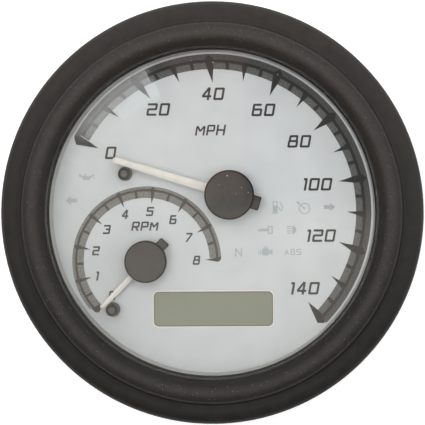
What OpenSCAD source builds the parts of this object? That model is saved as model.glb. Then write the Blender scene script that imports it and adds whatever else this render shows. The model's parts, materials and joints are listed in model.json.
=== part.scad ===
// Round motorcycle instrument cluster: speedometer with an inset tachometer, an LCD window and tell-tales.
// Origin: centre of the rear mounting plane. +Z runs out of the dial towards the rider, +Y is the top of the dial.

/* [Gasket and bezel] */
// Outside diameter of the rubber mounting gasket's flange
gasket_d = 130; // [128:0.5:133]
// Radius of the gasket skirt that fills the console's hole
skirt_r = 58; // [57:0.1:58.4]
// Rise of the lens at its centre
lens_dome = 1.0; // [0.2:0.1:1.6]

/* [Dial] */
// Width of the display window
lcd_w = 36.9; // [33:0.1:38]
// Height of the display window
lcd_h = 10.6; // [9:0.1:11.4]
// Height of the two pointer stop pins above the dial
stop_h = 6.5; // [5.6:0.1:7]

/* [Pointers] */
// Length of the speed needle from its pivot
speed_needle_len = 38.1; // [34:0.1:39]
// Length of the tachometer needle from its pivot
tach_needle_len = 20.2; // [18:0.1:20.8]
// Diameter of the speed pointer's cap
speed_cap_d = 15.3; // [15:0.1:16]
// Diameter of the tachometer pointer's cap
tach_cap_d = 13; // [12.7:0.1:13.6]

/* [Rear housing] */
// Diameter of the circle of mounting holes
mount_pcd = 80; // [78:0.5:82]
// Bore of the threaded mounting inserts
insert_bore_d = 3.4; // [3:0.1:4]
// Width of the connector socket's inside
socket_w = 26.4; // [25:0.1:27]
// Height of the connector socket's inside
socket_h = 10.4; // [9.6:0.1:10.8]

/* [Hidden] */
$fn = 96;
e = 0.01;

// heights, from the rear mounting plane
z_back = 4;
back_t = 2.2;
z_pcb = 18;
pcb_t = 1.6;
z_pcb_top = z_pcb + pcb_t;
z_tray = 20.8;
z_guide = 27.6;
z_flange = 29.2;
z_dial = 30;
z_seal = 39.2;
z_lens = 40;
z_lip = 43.05;
z_bezel = 43.85;
z_seat = 38.5;

// pivots, in the plane of the dial
speed_p = [5.22, 5.46];
tach_p = [-20.83, -15.11];
speed_rest = 162.8;
tach_rest = 225.8;
speed_stop = [-27.27, 12.15];
tach_stop = [-31.3, -30.05];
lcd_c = [0, -30.14];
socket_c = [6, -30];
shaft_r = 0.75;

// gear train of each stepper motor: two stages of 6 to 1
gm = 0.18;
wheel_n = 72;
pinion_n = 12;
gear_c = gm*(wheel_n + pinion_n)/2;
speed_motor_dir = 35;
tach_motor_dir = 100;
case_r = 8;

telltales = [[-39.2, 10.9], [-42.0, 3.7], [20.0, 1.6], [28.1, 1.5], [36.2, 1.65],
             [16.1, -5.4], [24.5, -5.4], [7.95, -12.45], [16.4, -12.2], [24.8, -12.4]];
backlights = [for (a = [20 : 40 : 340]) if (a < 240 || a > 300) [36*cos(a), 36*sin(a)]];
posts = [for (a = [45, 135, 232, 308]) [41.7*cos(a), 41.7*sin(a)]];
motor_pin_at = [for (s = [-1, 1]) each [[2*gear_c - 0.7, s*5.4], [2*gear_c + 3.3, s*4.2]]];
mounts = [for (a = [90, 210, 330]) [mount_pcd/2*cos(a), mount_pcd/2*sin(a)]];
terminals = [for (i = [0:5], j = [0, 1]) [socket_c[0] + (i - 2.5)*3.6, socket_c[1] + (j - 0.5)*4.2]];

function arc(cx, cy, r, a0, a1, n) = [for (i = [0:n]) [cx + r*cos(a0 + (a1 - a0)*i/n), cy + r*sin(a0 + (a1 - a0)*i/n)]];
function rrect(w, h, r, n = 5) = concat(
    arc(w/2 - r, h/2 - r, r, 0, 90, n), arc(-w/2 + r, h/2 - r, r, 90, 180, n),
    arc(-w/2 + r, -h/2 + r, r, 180, 270, n), arc(w/2 - r, -h/2 + r, r, 270, 360, n));
function stadium(len, r, n = 14) = concat(arc(len, 0, r, -90, 90, n), arc(0, 0, r, 90, 270, n));

// involute tooth flanks, in degrees
function inv(a) = tan(a)*180/PI - a;
function half_tooth(n, m, r, slack) = 90/n - slack/(n*m)*90/PI + inv(20) - inv(acos(min(1, n*m/2*cos(20)/r)));
function gear(n, m, add, ded, slack, turn = 0) = let (rp = n*m/2, rb = rp*cos(20), ri = max(rb, rp - ded*m))
    [for (i = [0:n - 1]) each [
        for (s = [[rp - ded*m, -half_tooth(n, m, ri, slack)], [max(rb, rp - 0.3*m), -half_tooth(n, m, max(rb, rp - 0.3*m), slack)],
                  [rp + add*m, -half_tooth(n, m, rp + add*m, slack)], [rp + add*m, half_tooth(n, m, rp + add*m, slack)],
                  [max(rb, rp - 0.3*m), half_tooth(n, m, max(rb, rp - 0.3*m), slack)], [rp - ded*m, half_tooth(n, m, ri, slack)]])
            [s[0]*cos(360*i/n + turn + s[1]), s[0]*sin(360*i/n + turn + s[1])]]];

module block(pts, z0, z1, at = [0, 0]) {
    translate([at[0], at[1], z0]) linear_extrude(height = z1 - z0) polygon(pts);
}
module rod(r, z0, z1, at = [0, 0]) {
    translate([at[0], at[1], z0]) cylinder(r = r, h = z1 - z0);
}
module box(w, h, z0, z1, at = [0, 0]) {
    translate([at[0] - w/2, at[1] - h/2, z0]) cube([w, h, z1 - z0]);
}
module ring(pts) { rotate_extrude($fn = 180) polygon(pts); }
module at_all(points) { for (p = points) translate([p[0], p[1], 0]) children(); }

// ---------- front: gasket, bezel, lens ----------
module mounting_gasket() {
    ro = gasket_d/2;
    color([0.2, 0.19, 0.18]) ring([
        [51.3, z_bezel], [51.4, 44.15], [51.8, 44.75], [52.5, 45.45], [53.5, 46.1], [54.7, 46.6], [56, 46.85],
        [57, 46.8], [57.8, 46.45], [58.4, 45.8], [58.7, 45], [58.85, 44], [59.1, 43.55],
        [60, 43.4], [62, 43.15], [ro - 1.5, 42.7], [ro - 0.5, 42], [ro, 41.1], [ro, 39.6], [ro - 0.4, 38.9], [ro - 1, z_seat],
        [skirt_r, z_seat], [skirt_r, 31], [skirt_r - 0.4, 30.5], [56.1, 30.5], [55.6, 31], [55.6, z_bezel]]);
}
module bezel_ring() {
    color([0.12, 0.12, 0.12]) ring([
        [50.5, z_lip], [50.5, z_lip + 0.5], [50.8, z_bezel], [55.6, z_bezel], [55.6, 25.8], [55, 25.2],
        [52.2, 25.2], [52.2, 26], [54.8, 26], [54.8, z_lip]]);
}
module lens() {
    color([0.9, 0.95, 1, 0.3]) ring(concat(
        [[54.3, z_lens], [54.3, z_lip - 0.4], [53.9, z_lip], [50, z_lip]],
        [for (i = [9:-1:0]) [5*i, z_lip + lens_dome*(1 - pow(5*i/50, 2))]],
        [for (i = [0:9]) [5*i, z_lens + lens_dome*(1 - pow(5*i/49, 2))]],
        [[49, z_lens]]));
}
module lens_seal() {
    color([0.05, 0.05, 0.05]) ring([[50.15, z_seal], [54.2, z_seal], [54.2, z_lens], [50.15, z_lens]]);
}
module trim_ring() {
    color([0.85, 0.86, 0.86]) ring([
        [49.75, z_dial], [50.1, z_seal - 0.4], [50.4, z_seal], [53.9, z_seal], [53.9, z_flange], [52.7, z_flange],
        [52.7, 38], [51.3, 38], [50.9, z_dial]]);
}

// ---------- dial and its light ----------
module dial_plate() {
    color([0.9, 0.91, 0.91]) difference() {
        rod(50.4, z_flange, z_dial, $fn = 180);
        rod(2, z_flange - e, z_dial + e, speed_p);
        rod(2, z_flange - e, z_dial + e, tach_p);
        rod(1, z_flange - e, z_dial + e, speed_stop);
        rod(1, z_flange - e, z_dial + e, tach_stop);
        block(rrect(lcd_w, lcd_h, 1.4), z_flange - e, z_dial + e, lcd_c);
    }
}
module light_guide() {
    color([0.8, 0.9, 0.95, 0.5]) difference() {
        rod(45.4, z_guide, z_flange, $fn = 180);
        rod(3, z_guide - e, z_flange + e, speed_p);
        rod(3, z_guide - e, z_flange + e, tach_p);
        rod(1, z_guide - e, z_flange + e, speed_stop);
        rod(1, z_guide - e, z_flange + e, tach_stop);
        box(43.4, 17.4, z_guide - e, z_flange + e, lcd_c);
    }
}
module light_tray() {
    color([0.93, 0.93, 0.92]) difference() {
        union() {
            difference() {
                rod(46, z_tray, z_guide, $fn = 180);
                rod(44.6, z_tray + 1.2, z_guide + e, $fn = 180);
            }
            at_all(telltales) box(5.6, 5.6, z_tray + 0.6, z_guide);
            at_all(posts) rod(3.2, z_pcb_top, z_tray + 0.6);
            box(45.4, 19.4, z_tray + 0.6, 24.6, lcd_c);
        }
        at_all(telltales) box(4, 4, z_tray - e, z_guide + e);
        at_all(backlights) rod(2, z_tray - e, z_tray + 3);
        at_all(posts) rod(1.5, z_pcb_top - e, z_tray + 3);
        rod(2.5, z_tray - e, z_guide + e, speed_p);
        rod(2.5, z_tray - e, z_guide + e, tach_p);
        box(43.4, 17.4, z_tray - e, z_guide + e, lcd_c);
    }
}

// ---------- display ----------
module lcd_frame() {
    color([0.86, 0.82, 0.72]) difference() {
        box(43, 17, z_pcb_top, z_flange, lcd_c);
        block(rrect(lcd_w - 0.6, lcd_h - 0.6, 1.1), 28, z_flange + e, lcd_c);
        box(41, 15, 25.7, 28.5, lcd_c);
        box(39, 13, z_pcb_top - e, 25.7 + e, lcd_c);
    }
}
module lcd_glass() { color([0.55, 0.57, 0.49]) box(40.8, 14.8, 25.7, 28.5, lcd_c); }
module lcd_diffuser() { color([0.95, 0.95, 0.93]) box(37, 9, 23.9, 25.7, lcd_c); }
module lcd_contact_strips() {
    color([0.2, 0.2, 0.22]) for (s = [-1, 1]) box(36, 1.6, z_pcb_top, 25.7, [lcd_c[0], lcd_c[1] + s*5.6]);
}

// ---------- stop pins ----------
module stop_pin() {
    ring([[0, z_guide], [1, z_guide], [1, z_dial], [2.25, z_dial], [2.2, z_dial + 0.6], [1.93, z_dial + 4.9],
          [1.8, z_dial + stop_h - 0.6], [1.45, z_dial + stop_h - 0.1], [1, z_dial + stop_h], [0, z_dial + stop_h]]);
}
module speed_stop_pin() { color([0.2, 0.19, 0.18]) translate([speed_stop[0], speed_stop[1], 0]) stop_pin(); }
module tach_stop_pin() { color([0.2, 0.19, 0.18]) translate([tach_stop[0], tach_stop[1], 0]) stop_pin(); }

// ---------- pointers: needle moulding with its hub, and a cap pressed over it ----------
module needle(len, w_root, w_end, tip, hub_r, z) {
    difference() {
        union() {
            rod(hub_r - 0.05, z, z + 2.4);
            block([[hub_r - 1, -w_root/2], [len - tip, -w_end/2], [len - 0.3, -w_end/4], [len, 0],
                   [len - 0.3, w_end/4], [len - tip, w_end/2], [hub_r - 1, w_root/2]], z + 0.5, z + 2.1);
        }
        rod(shaft_r, z - e, z + 2.4 + e);
    }
}
module cap(r, hub_r, w_slot, tail, tail_w, z, shaft_top) {
    difference() {
        union() {
            ring([[0, z], [r, z], [r, z + 4.6], [r - 0.4, z + 5], [0, z + 5]]);
            box(tail - r + 2, tail_w, z + 0.4, z + 3.4, [-(tail + r - 2)/2, 0]);
        }
        rod(hub_r, z - e, z + 2.4);
        box(r, w_slot, z - e, z + 2.4, [r/2 + 2, 0]);
        rod(shaft_r, z + 2.4 - e, shaft_top);
    }
}
module place_speed(a = speed_rest) { translate([speed_p[0], speed_p[1], 0]) rotate([0, 0, a]) children(); }
module place_tach(a = tach_rest) { translate([tach_p[0], tach_p[1], 0]) rotate([0, 0, a]) children(); }
module speed_needle() { color([0.93, 0.9, 0.82]) place_speed() needle(speed_needle_len, 2.6, 1.75, 2.2, 6.7, 32.6); }
module speed_needle_cap() { color([0.25, 0.24, 0.22]) place_speed() cap(speed_cap_d/2, 6.7, 2.8, 9.85, 4.3, 32.6, 36.4); }
module tach_needle() { color([0.93, 0.9, 0.82]) place_tach() needle(tach_needle_len, 1.65, 1.4, 0.9, 5.6, 31.6); }
module tach_needle_cap() { color([0.28, 0.27, 0.25]) place_tach() cap(tach_cap_d/2, 5.6, 1.9, 8.7, 3.3, 31.6, 35.4); }

// ---------- stepper motor: origin on the output shaft at the case's top, +X towards the rotor ----------
module place_speed_motor() { translate([speed_p[0], speed_p[1], z_pcb]) rotate([0, 0, speed_motor_dir]) children(); }
module place_tach_motor() { translate([tach_p[0], tach_p[1], z_pcb]) rotate([0, 0, tach_motor_dir]) children(); }
module output_shaft(top) { rod(shaft_r, -7.1, top - z_pcb); }
module output_wheel() {
    difference() {
        union() {
            block(gear(wheel_n, gm, 0.75, 1.1, 0.05), -2.4, -1.4);
            rod(1.7, -2.4, -1.1);
        }
        rod(shaft_r, -3, 0);
    }
}
module idler_gear() {
    difference() {
        union() {
            block(gear(pinion_n, gm, 0.9, 1.1, 0.05, 15), -3.6, -1.3);
            block(gear(wheel_n, gm, 0.75, 1.1, 0.05), -3.6, -2.7);
        }
        rod(0.55, -4, -1);
    }
}
module rotor() {
    difference() {
        union() {
            block(gear(pinion_n, gm, 0.9, 1.1, 0.05, 15), -4.2, -2.5);
            rod(2.8, -7, -4.2);
        }
        rod(0.55, -7.5, -2);
    }
}
module motor_cover() {
    difference() {
        block(stadium(2*gear_c, case_r), -4.4, 0);
        block(stadium(2*gear_c, case_r - 0.9), -4.4 - e, -1);
        rod(shaft_r + 0.05, -2, 1);
        rod(0.5, -1.5, -0.5, [gear_c, 0]);
        rod(0.5, -1.5, -0.5, [2*gear_c, 0]);
        at_all(motor_pin_at) rod(0.35, -2, 1);
    }
}
module motor_base() {
    difference() {
        union() {
            difference() {
                block(stadium(2*gear_c, case_r), -8.2, -4.4);
                block(stadium(2*gear_c, case_r - 0.9), -7.3, -4.4 + e);
            }
            rod(1.8, -7.5, -6.5);
        }
        rod(shaft_r + 0.05, -7.2, -6);
        rod(0.5, -7.8, -7, [gear_c, 0]);
        rod(0.5, -7.8, -7, [2*gear_c, 0]);
    }
}
module motor_axles() { for (i = [1, 2]) rod(0.5, -7.8, -0.5, [i*gear_c, 0]); }
module motor_stator() {
    difference() {
        union() {
            rod(6.3, -6, -5.2, [2*gear_c, 0]);
            for (s = [-1, 1]) box(13.2, 1.6, -6, -5.2, [7.8, s*4.6]);
            box(1.4, 10.8, -6, -5.2, [1.9, 0]);
        }
        rod(3.2, -7, -5, [2*gear_c, 0]);
    }
}
module motor_coils() {
    for (s = [-1, 1]) difference() {
        box(5.5, 4.4, -7.1, -4.1, [6.25, s*4.6]);
        box(8, 1.6, -6, -5.2, [6.25, s*4.6]);
    }
}
module motor_pins() { at_all(motor_pin_at) rod(0.35, -4.9, 2.4); }

module speed_output_shaft() { color([0.75, 0.75, 0.77]) place_speed_motor() output_shaft(36.4); }
module speed_output_wheel() { color([0.9, 0.9, 0.86]) place_speed_motor() output_wheel(); }
module speed_idler_gear() { color([0.9, 0.9, 0.86]) place_speed_motor() translate([gear_c, 0, 0]) idler_gear(); }
module speed_rotor() { color([0.3, 0.3, 0.32]) place_speed_motor() translate([2*gear_c, 0, 0]) rotor(); }
module speed_motor_cover() { color([0.9, 0.9, 0.88]) place_speed_motor() motor_cover(); }
module speed_motor_base() { color([0.9, 0.9, 0.88]) place_speed_motor() motor_base(); }
module speed_motor_axles() { color([0.7, 0.7, 0.72]) place_speed_motor() motor_axles(); }
module speed_motor_stator() { color([0.5, 0.5, 0.52]) place_speed_motor() motor_stator(); }
module speed_motor_coils() { color([0.72, 0.4, 0.2]) place_speed_motor() motor_coils(); }
module speed_motor_pins() { color([0.8, 0.75, 0.5]) place_speed_motor() motor_pins(); }
module tach_output_shaft() { color([0.75, 0.75, 0.77]) place_tach_motor() output_shaft(35.4); }
module tach_output_wheel() { color([0.9, 0.9, 0.86]) place_tach_motor() output_wheel(); }
module tach_idler_gear() { color([0.9, 0.9, 0.86]) place_tach_motor() translate([gear_c, 0, 0]) idler_gear(); }
module tach_rotor() { color([0.3, 0.3, 0.32]) place_tach_motor() translate([2*gear_c, 0, 0]) rotor(); }
module tach_motor_cover() { color([0.9, 0.9, 0.88]) place_tach_motor() motor_cover(); }
module tach_motor_base() { color([0.9, 0.9, 0.88]) place_tach_motor() motor_base(); }
module tach_motor_axles() { color([0.7, 0.7, 0.72]) place_tach_motor() motor_axles(); }
module tach_motor_stator() { color([0.5, 0.5, 0.52]) place_tach_motor() motor_stator(); }
module tach_motor_coils() { color([0.72, 0.4, 0.2]) place_tach_motor() motor_coils(); }
module tach_motor_pins() { color([0.8, 0.75, 0.5]) place_tach_motor() motor_pins(); }

// ---------- circuit board and what it carries ----------
module circuit_board() {
    color([0.1, 0.35, 0.2]) difference() {
        rod(46.2, z_pcb, z_pcb_top, $fn = 180);
        rod(2.2, z_pcb - e, z_pcb_top + e, speed_p);
        rod(2.2, z_pcb - e, z_pcb_top + e, tach_p);
        at_all(posts) rod(1.5, z_pcb - e, z_pcb_top + e);
        at_all(terminals) box(0.64, 0.64, z_pcb - e, z_pcb_top + e);
        place_speed_motor() at_all(motor_pin_at) rod(0.35, -1, 3);
        place_tach_motor() at_all(motor_pin_at) rod(0.35, -1, 3);
    }
}
module telltale_leds() { color([0.95, 0.95, 0.85]) at_all(telltales) box(2.8, 2, z_pcb_top, z_pcb_top + 0.9); }
module backlight_leds() { color([0.95, 0.95, 0.85]) at_all(backlights) box(2.8, 2, z_pcb_top, z_pcb_top + 0.9); }
module processor_chip() { color([0.1, 0.1, 0.1]) box(12, 12, z_pcb - 1.5, z_pcb, [-4, 27]); }
module driver_chips() {
    color([0.1, 0.1, 0.1]) {
        box(8, 6, z_pcb - 1.4, z_pcb, [30, 0]);
        box(8, 6, z_pcb - 1.4, z_pcb, [14, 32]);
        box(6, 5, z_pcb - 1.4, z_pcb, [-4, -14]);
    }
}
module capacitors() {
    color([0.7, 0.7, 0.72]) {
        rod(3.15, z_pcb - 7, z_pcb, [33, -12]);
        rod(2.5, z_pcb - 6, z_pcb, [24, -15]);
        rod(2.5, z_pcb - 6, z_pcb, [-20, 22]);
    }
}
module oscillator() { color([0.75, 0.75, 0.77]) block(rrect(8, 3.4, 1.6), z_pcb - 3.2, z_pcb, [-4, 17]); }
module connector_terminals() { color([0.85, 0.78, 0.55]) at_all(terminals) box(0.64, 0.64, 5.6, z_pcb_top + 1); }
module board_screws() {
    color([0.8, 0.8, 0.82]) at_all(posts) difference() {
        union() {
            rod(2.5, z_tray + 1.2, z_tray + 2.8);
            rod(1.15, 9.5, z_tray + 1.2 + e);
        }
        box(2.8, 0.6, z_tray + 2, z_tray + 3);
        box(0.6, 2.8, z_tray + 2, z_tray + 3);
    }
}

// ---------- rear housing ----------
module rear_housing() {
    color([0.13, 0.13, 0.13]) difference() {
        union() {
            ring([[0, z_back], [46.9, z_back], [48.6, z_back + 0.7], [49.4, z_back + 2.4], [49.4, 26], [54.2, 26], [54.2, 26.6], [53, 26.6],
                  [53, 28.4], [54.2, 28.4], [54.2, z_flange], [47.2, z_flange], [47.2, 7], [46.4, z_back + back_t], [0, z_back + back_t]]);
            at_all(mounts) rod(5.2, 0, 10);
            at_all(posts) rod(3.2, z_back + 1, z_pcb);
            block(rrect(socket_w + 3.6, socket_h + 3.6, 2), 0.8, 13.6, socket_c);
            box(9, 2.2, 0.8, 3, [socket_c[0], socket_c[1] + socket_h/2 + 2.6]);
            for (a = [90, 210, 330]) rotate([0, 0, a]) box(28, 1.6, 2.4, z_back + 1, [22, 0]);
            ring([[7, 2], [9, 2], [9, z_back + 1.2], [7, z_back + 1.2]]);
            for (a = [0:30:330]) rotate([0, 0, a + 15]) box(1.2, 1.6, 8, 26, [49.8, 0]);
        }
        block(rrect(socket_w, socket_h, 1), 0, 12, socket_c);
        at_all(terminals) box(0.64, 0.64, 11, 14);
        at_all(mounts) rod(3, -e, 8);
        at_all(posts) rod(1.2, 9, z_pcb + e);
        rod(1.2, z_back - 1, z_back + 3, [-14, -33]);
        rod(5.2, z_back - 1, z_back + 0.5, [-14, -33]);
        box(26, 14, z_back - e, z_back + 0.2, [20, 24]);
    }
}
module housing_seal() { color([0.06, 0.06, 0.06]) translate([0, 0, 27.5]) rotate_extrude($fn = 180) translate([53.9, 0]) circle(r = 0.88, $fn = 32); }
module vent_membrane() { color([0.9, 0.9, 0.9]) rod(5.1, z_back + 0.2, z_back + 0.5, [-14, -33]); }
module mounting_inserts() {
    color([0.8, 0.65, 0.3]) at_all(mounts) difference() {
        ring([[0, 0], [3, 0], [3, 2.6], [2.8, 2.8], [2.8, 4], [3, 4.2], [3, 8], [0, 8]]);
        rod(insert_bore_d/2, -e, 8 + e);
    }
}
module blank_label() { color([0.85, 0.85, 0.86]) box(25.4, 13.4, z_back + 0.05, z_back + 0.2, [20, 24]); }

mounting_gasket();
bezel_ring();
lens();
lens_seal();
trim_ring();
dial_plate();
light_guide();
light_tray();
lcd_frame();
lcd_glass();
lcd_diffuser();
lcd_contact_strips();
speed_stop_pin();
tach_stop_pin();
speed_needle();
speed_needle_cap();
tach_needle();
tach_needle_cap();
speed_output_shaft();
speed_output_wheel();
speed_idler_gear();
speed_rotor();
speed_motor_cover();
speed_motor_base();
speed_motor_axles();
speed_motor_stator();
speed_motor_coils();
speed_motor_pins();
tach_output_shaft();
tach_output_wheel();
tach_idler_gear();
tach_rotor();
tach_motor_cover();
tach_motor_base();
tach_motor_axles();
tach_motor_stator();
tach_motor_coils();
tach_motor_pins();
circuit_board();
telltale_leds();
backlight_leds();
processor_chip();
driver_chips();
capacitors();
oscillator();
connector_terminals();
board_screws();
rear_housing();
housing_seal();
vent_membrane();
mounting_inserts();
blank_label();
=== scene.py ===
import json
import math
import random
import bpy
import bmesh
from mathutils import Vector, Matrix
from mathutils.geometry import delaunay_2d_cdt


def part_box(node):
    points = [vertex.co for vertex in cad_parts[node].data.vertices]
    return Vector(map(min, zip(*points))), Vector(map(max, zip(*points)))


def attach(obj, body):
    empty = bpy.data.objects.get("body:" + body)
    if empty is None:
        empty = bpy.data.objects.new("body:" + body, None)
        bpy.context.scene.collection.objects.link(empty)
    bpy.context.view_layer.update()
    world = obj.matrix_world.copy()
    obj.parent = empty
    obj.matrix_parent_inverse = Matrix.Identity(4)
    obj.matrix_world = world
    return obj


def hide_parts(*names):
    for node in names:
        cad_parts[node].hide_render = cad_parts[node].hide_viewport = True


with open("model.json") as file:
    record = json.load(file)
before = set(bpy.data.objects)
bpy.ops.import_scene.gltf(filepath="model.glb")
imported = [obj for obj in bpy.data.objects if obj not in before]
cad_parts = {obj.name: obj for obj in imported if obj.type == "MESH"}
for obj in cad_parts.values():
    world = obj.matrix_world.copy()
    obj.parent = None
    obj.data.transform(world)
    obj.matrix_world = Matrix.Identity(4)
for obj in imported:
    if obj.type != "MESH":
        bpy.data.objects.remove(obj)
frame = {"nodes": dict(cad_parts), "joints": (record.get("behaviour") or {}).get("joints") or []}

# Round motorcycle instrument cluster. Lengths below are in millimetres unless they say otherwise.
MM = 0.001
random.seed(11)
nodes = frame["nodes"]
joints = {j["name"]: j for j in frame["joints"]}
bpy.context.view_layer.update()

SPEED = tuple(joints["speed_pointer_turn"]["pos_m"][i] / MM for i in (0, 1))
TACH = tuple(joints["tach_pointer_turn"]["pos_m"][i] / MM for i in (0, 1))
SPEED_REST, TACH_REST = 162.8, 225.8
Z_DIAL = 30.0


# ---------------------------------------------------------------- materials
def lin(r, g, b):
    return tuple((c / 255 / 12.92 if c / 255 <= 0.04045 else ((c / 255 + 0.055) / 1.055) ** 2.4) for c in (r, g, b)) + (1.0,)


def col(r, g=None, b=None):
    return (r, r if g is None else g, r if b is None else b, 1.0)


class Surface:
    """A procedural principled material: mottled colour, varied roughness, fine bump and optional dust."""

    def __init__(self, name, base, rough=0.5, metallic=0.0, mottle=(350, 0.1), grain=(5200, 0.08), tint=None,
                 rough_var=0.08, bump=(5200, 0.000006), swell=None, dust=None, plain=None, stretch=None, alpha=None):
        m = bpy.data.materials.new(name)
        m.use_nodes = True
        self.m, self.nt = m, m.node_tree
        self.nt.nodes.clear()
        out = self.add("ShaderNodeOutputMaterial")
        self.out = out
        b = self.add("ShaderNodeBsdfPrincipled")
        self.b = b
        self.link(b.outputs["BSDF"], out.inputs["Surface"])
        tc = self.add("ShaderNodeTexCoord")
        self.co = tc.outputs["Object"]
        if stretch:
            mp = self.add("ShaderNodeMapping")
            mp.inputs["Scale"].default_value = stretch
            self.link(self.co, mp.inputs["Vector"])
            self.co = mp.outputs["Vector"]
        n1 = self.noise(mottle[0], 3)
        n2 = self.noise(grain[0], 2)
        dark = tuple(c * (1 - mottle[1]) for c in base[:3]) + (1,)
        lite = tuple(min(1, c * (1 + mottle[1])) for c in (tint or base)[:3]) + (1,)
        c1 = self.mix(n1, dark, lite)
        g = grain[1]
        c2 = self.mix(n2, col(1 - g * 1.6), col(min(1.0 + g * 1.6, 4)))
        c = self.blend("MULTIPLY", c1, c2)
        if dust:
            # size of a cell, radius in cells, colour, strength, (low z, high z) where it gathers
            cell, rad, dcol, strength, zz = dust
            v = self.add("ShaderNodeTexVoronoi")
            v.inputs["Scale"].default_value = 1 / (cell * MM)
            self.link(self.co, v.inputs["Vector"])
            ramp = self.maprange(v.outputs["Distance"], rad, rad * 0.45, 0, strength)
            pick = self.maprange(self.split(v.outputs["Color"]), 0.45, 0.6, 0, 1)
            f = self.math("MULTIPLY", ramp, pick)
            if zz:
                sx = self.add("ShaderNodeSeparateXYZ")
                self.link(self.co, sx.inputs[0])
                f = self.math("MULTIPLY", f, self.maprange(sx.outputs["Z"], zz[0] * MM, zz[1] * MM, 0.12, 1))
            c = self.blend("MIX", c, dcol, f)
        self.link(c, b.inputs["Base Color"])
        r = self.maprange(n1, 0.3, 0.7, max(0.02, rough - rough_var), min(1, rough + rough_var))
        self.link(r, b.inputs["Roughness"])
        b.inputs["Metallic"].default_value = metallic
        if bump or swell:
            height = None
            bp = self.add("ShaderNodeBump")
            if bump:
                height = self.noise(bump[0], 4)
                bp.inputs["Distance"].default_value = bump[1] * 1000
                bp.inputs["Strength"].default_value = min(1.0, bump[2]) if len(bump) > 2 else 0.5
                bp.inputs["Distance"].default_value = bump[1]
                self.link(height, bp.inputs["Height"])
            if swell:
                b2 = self.add("ShaderNodeBump")
                b2.inputs["Distance"].default_value = swell[1]
                b2.inputs["Strength"].default_value = 0.6
                self.link(self.noise(swell[0], 2), b2.inputs["Height"])
                if bump:
                    self.link(b2.outputs[0], bp.inputs["Normal"])
                    self.link(bp.outputs[0], b.inputs["Normal"])
                else:
                    self.link(b2.outputs[0], b.inputs["Normal"])
            else:
                self.link(bp.outputs[0], b.inputs["Normal"])
        for k, v in (plain or {}).items():
            b.inputs[k].default_value = v
        if alpha is not None:
            b.inputs["Alpha"].default_value = alpha

    def add(self, kind):
        return self.nt.nodes.new(kind)

    def link(self, a, b):
        self.nt.links.new(a, b)

    def put(self, value, sock):
        if isinstance(value, (int, float, tuple)):
            sock.default_value = value
        else:
            self.link(value, sock)

    def noise(self, scale, detail):
        n = self.add("ShaderNodeTexNoise")
        n.inputs["Scale"].default_value = scale
        n.inputs["Detail"].default_value = detail
        self.link(self.co, n.inputs["Vector"])
        return n.outputs["Fac"]

    def split(self, colour):
        s = self.add("ShaderNodeSeparateColor")
        self.link(colour, s.inputs[0])
        return s.outputs[0]

    def maprange(self, value, a, b, c, d):
        n = self.add("ShaderNodeMapRange")
        n.inputs["From Min"].default_value = a
        n.inputs["From Max"].default_value = b
        n.inputs["To Min"].default_value = c
        n.inputs["To Max"].default_value = d
        self.put(value, n.inputs["Value"])
        return n.outputs["Result"]

    def math(self, op, a, b):
        n = self.add("ShaderNodeMath")
        n.operation = op
        self.put(a, n.inputs[0])
        self.put(b, n.inputs[1])
        return n.outputs[0]

    def mix(self, fac, a, b):
        return self.blend("MIX", a, b, self.maprange(fac, 0.32, 0.68, 0, 1))

    def blend(self, mode, a, b, fac=1.0):
        n = self.add("ShaderNodeMix")
        n.data_type = "RGBA"
        n.blend_type = mode
        self.put(fac, n.inputs[0])
        self.put(a, n.inputs[6])
        self.put(b, n.inputs[7])
        return n.outputs[2]


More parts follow.
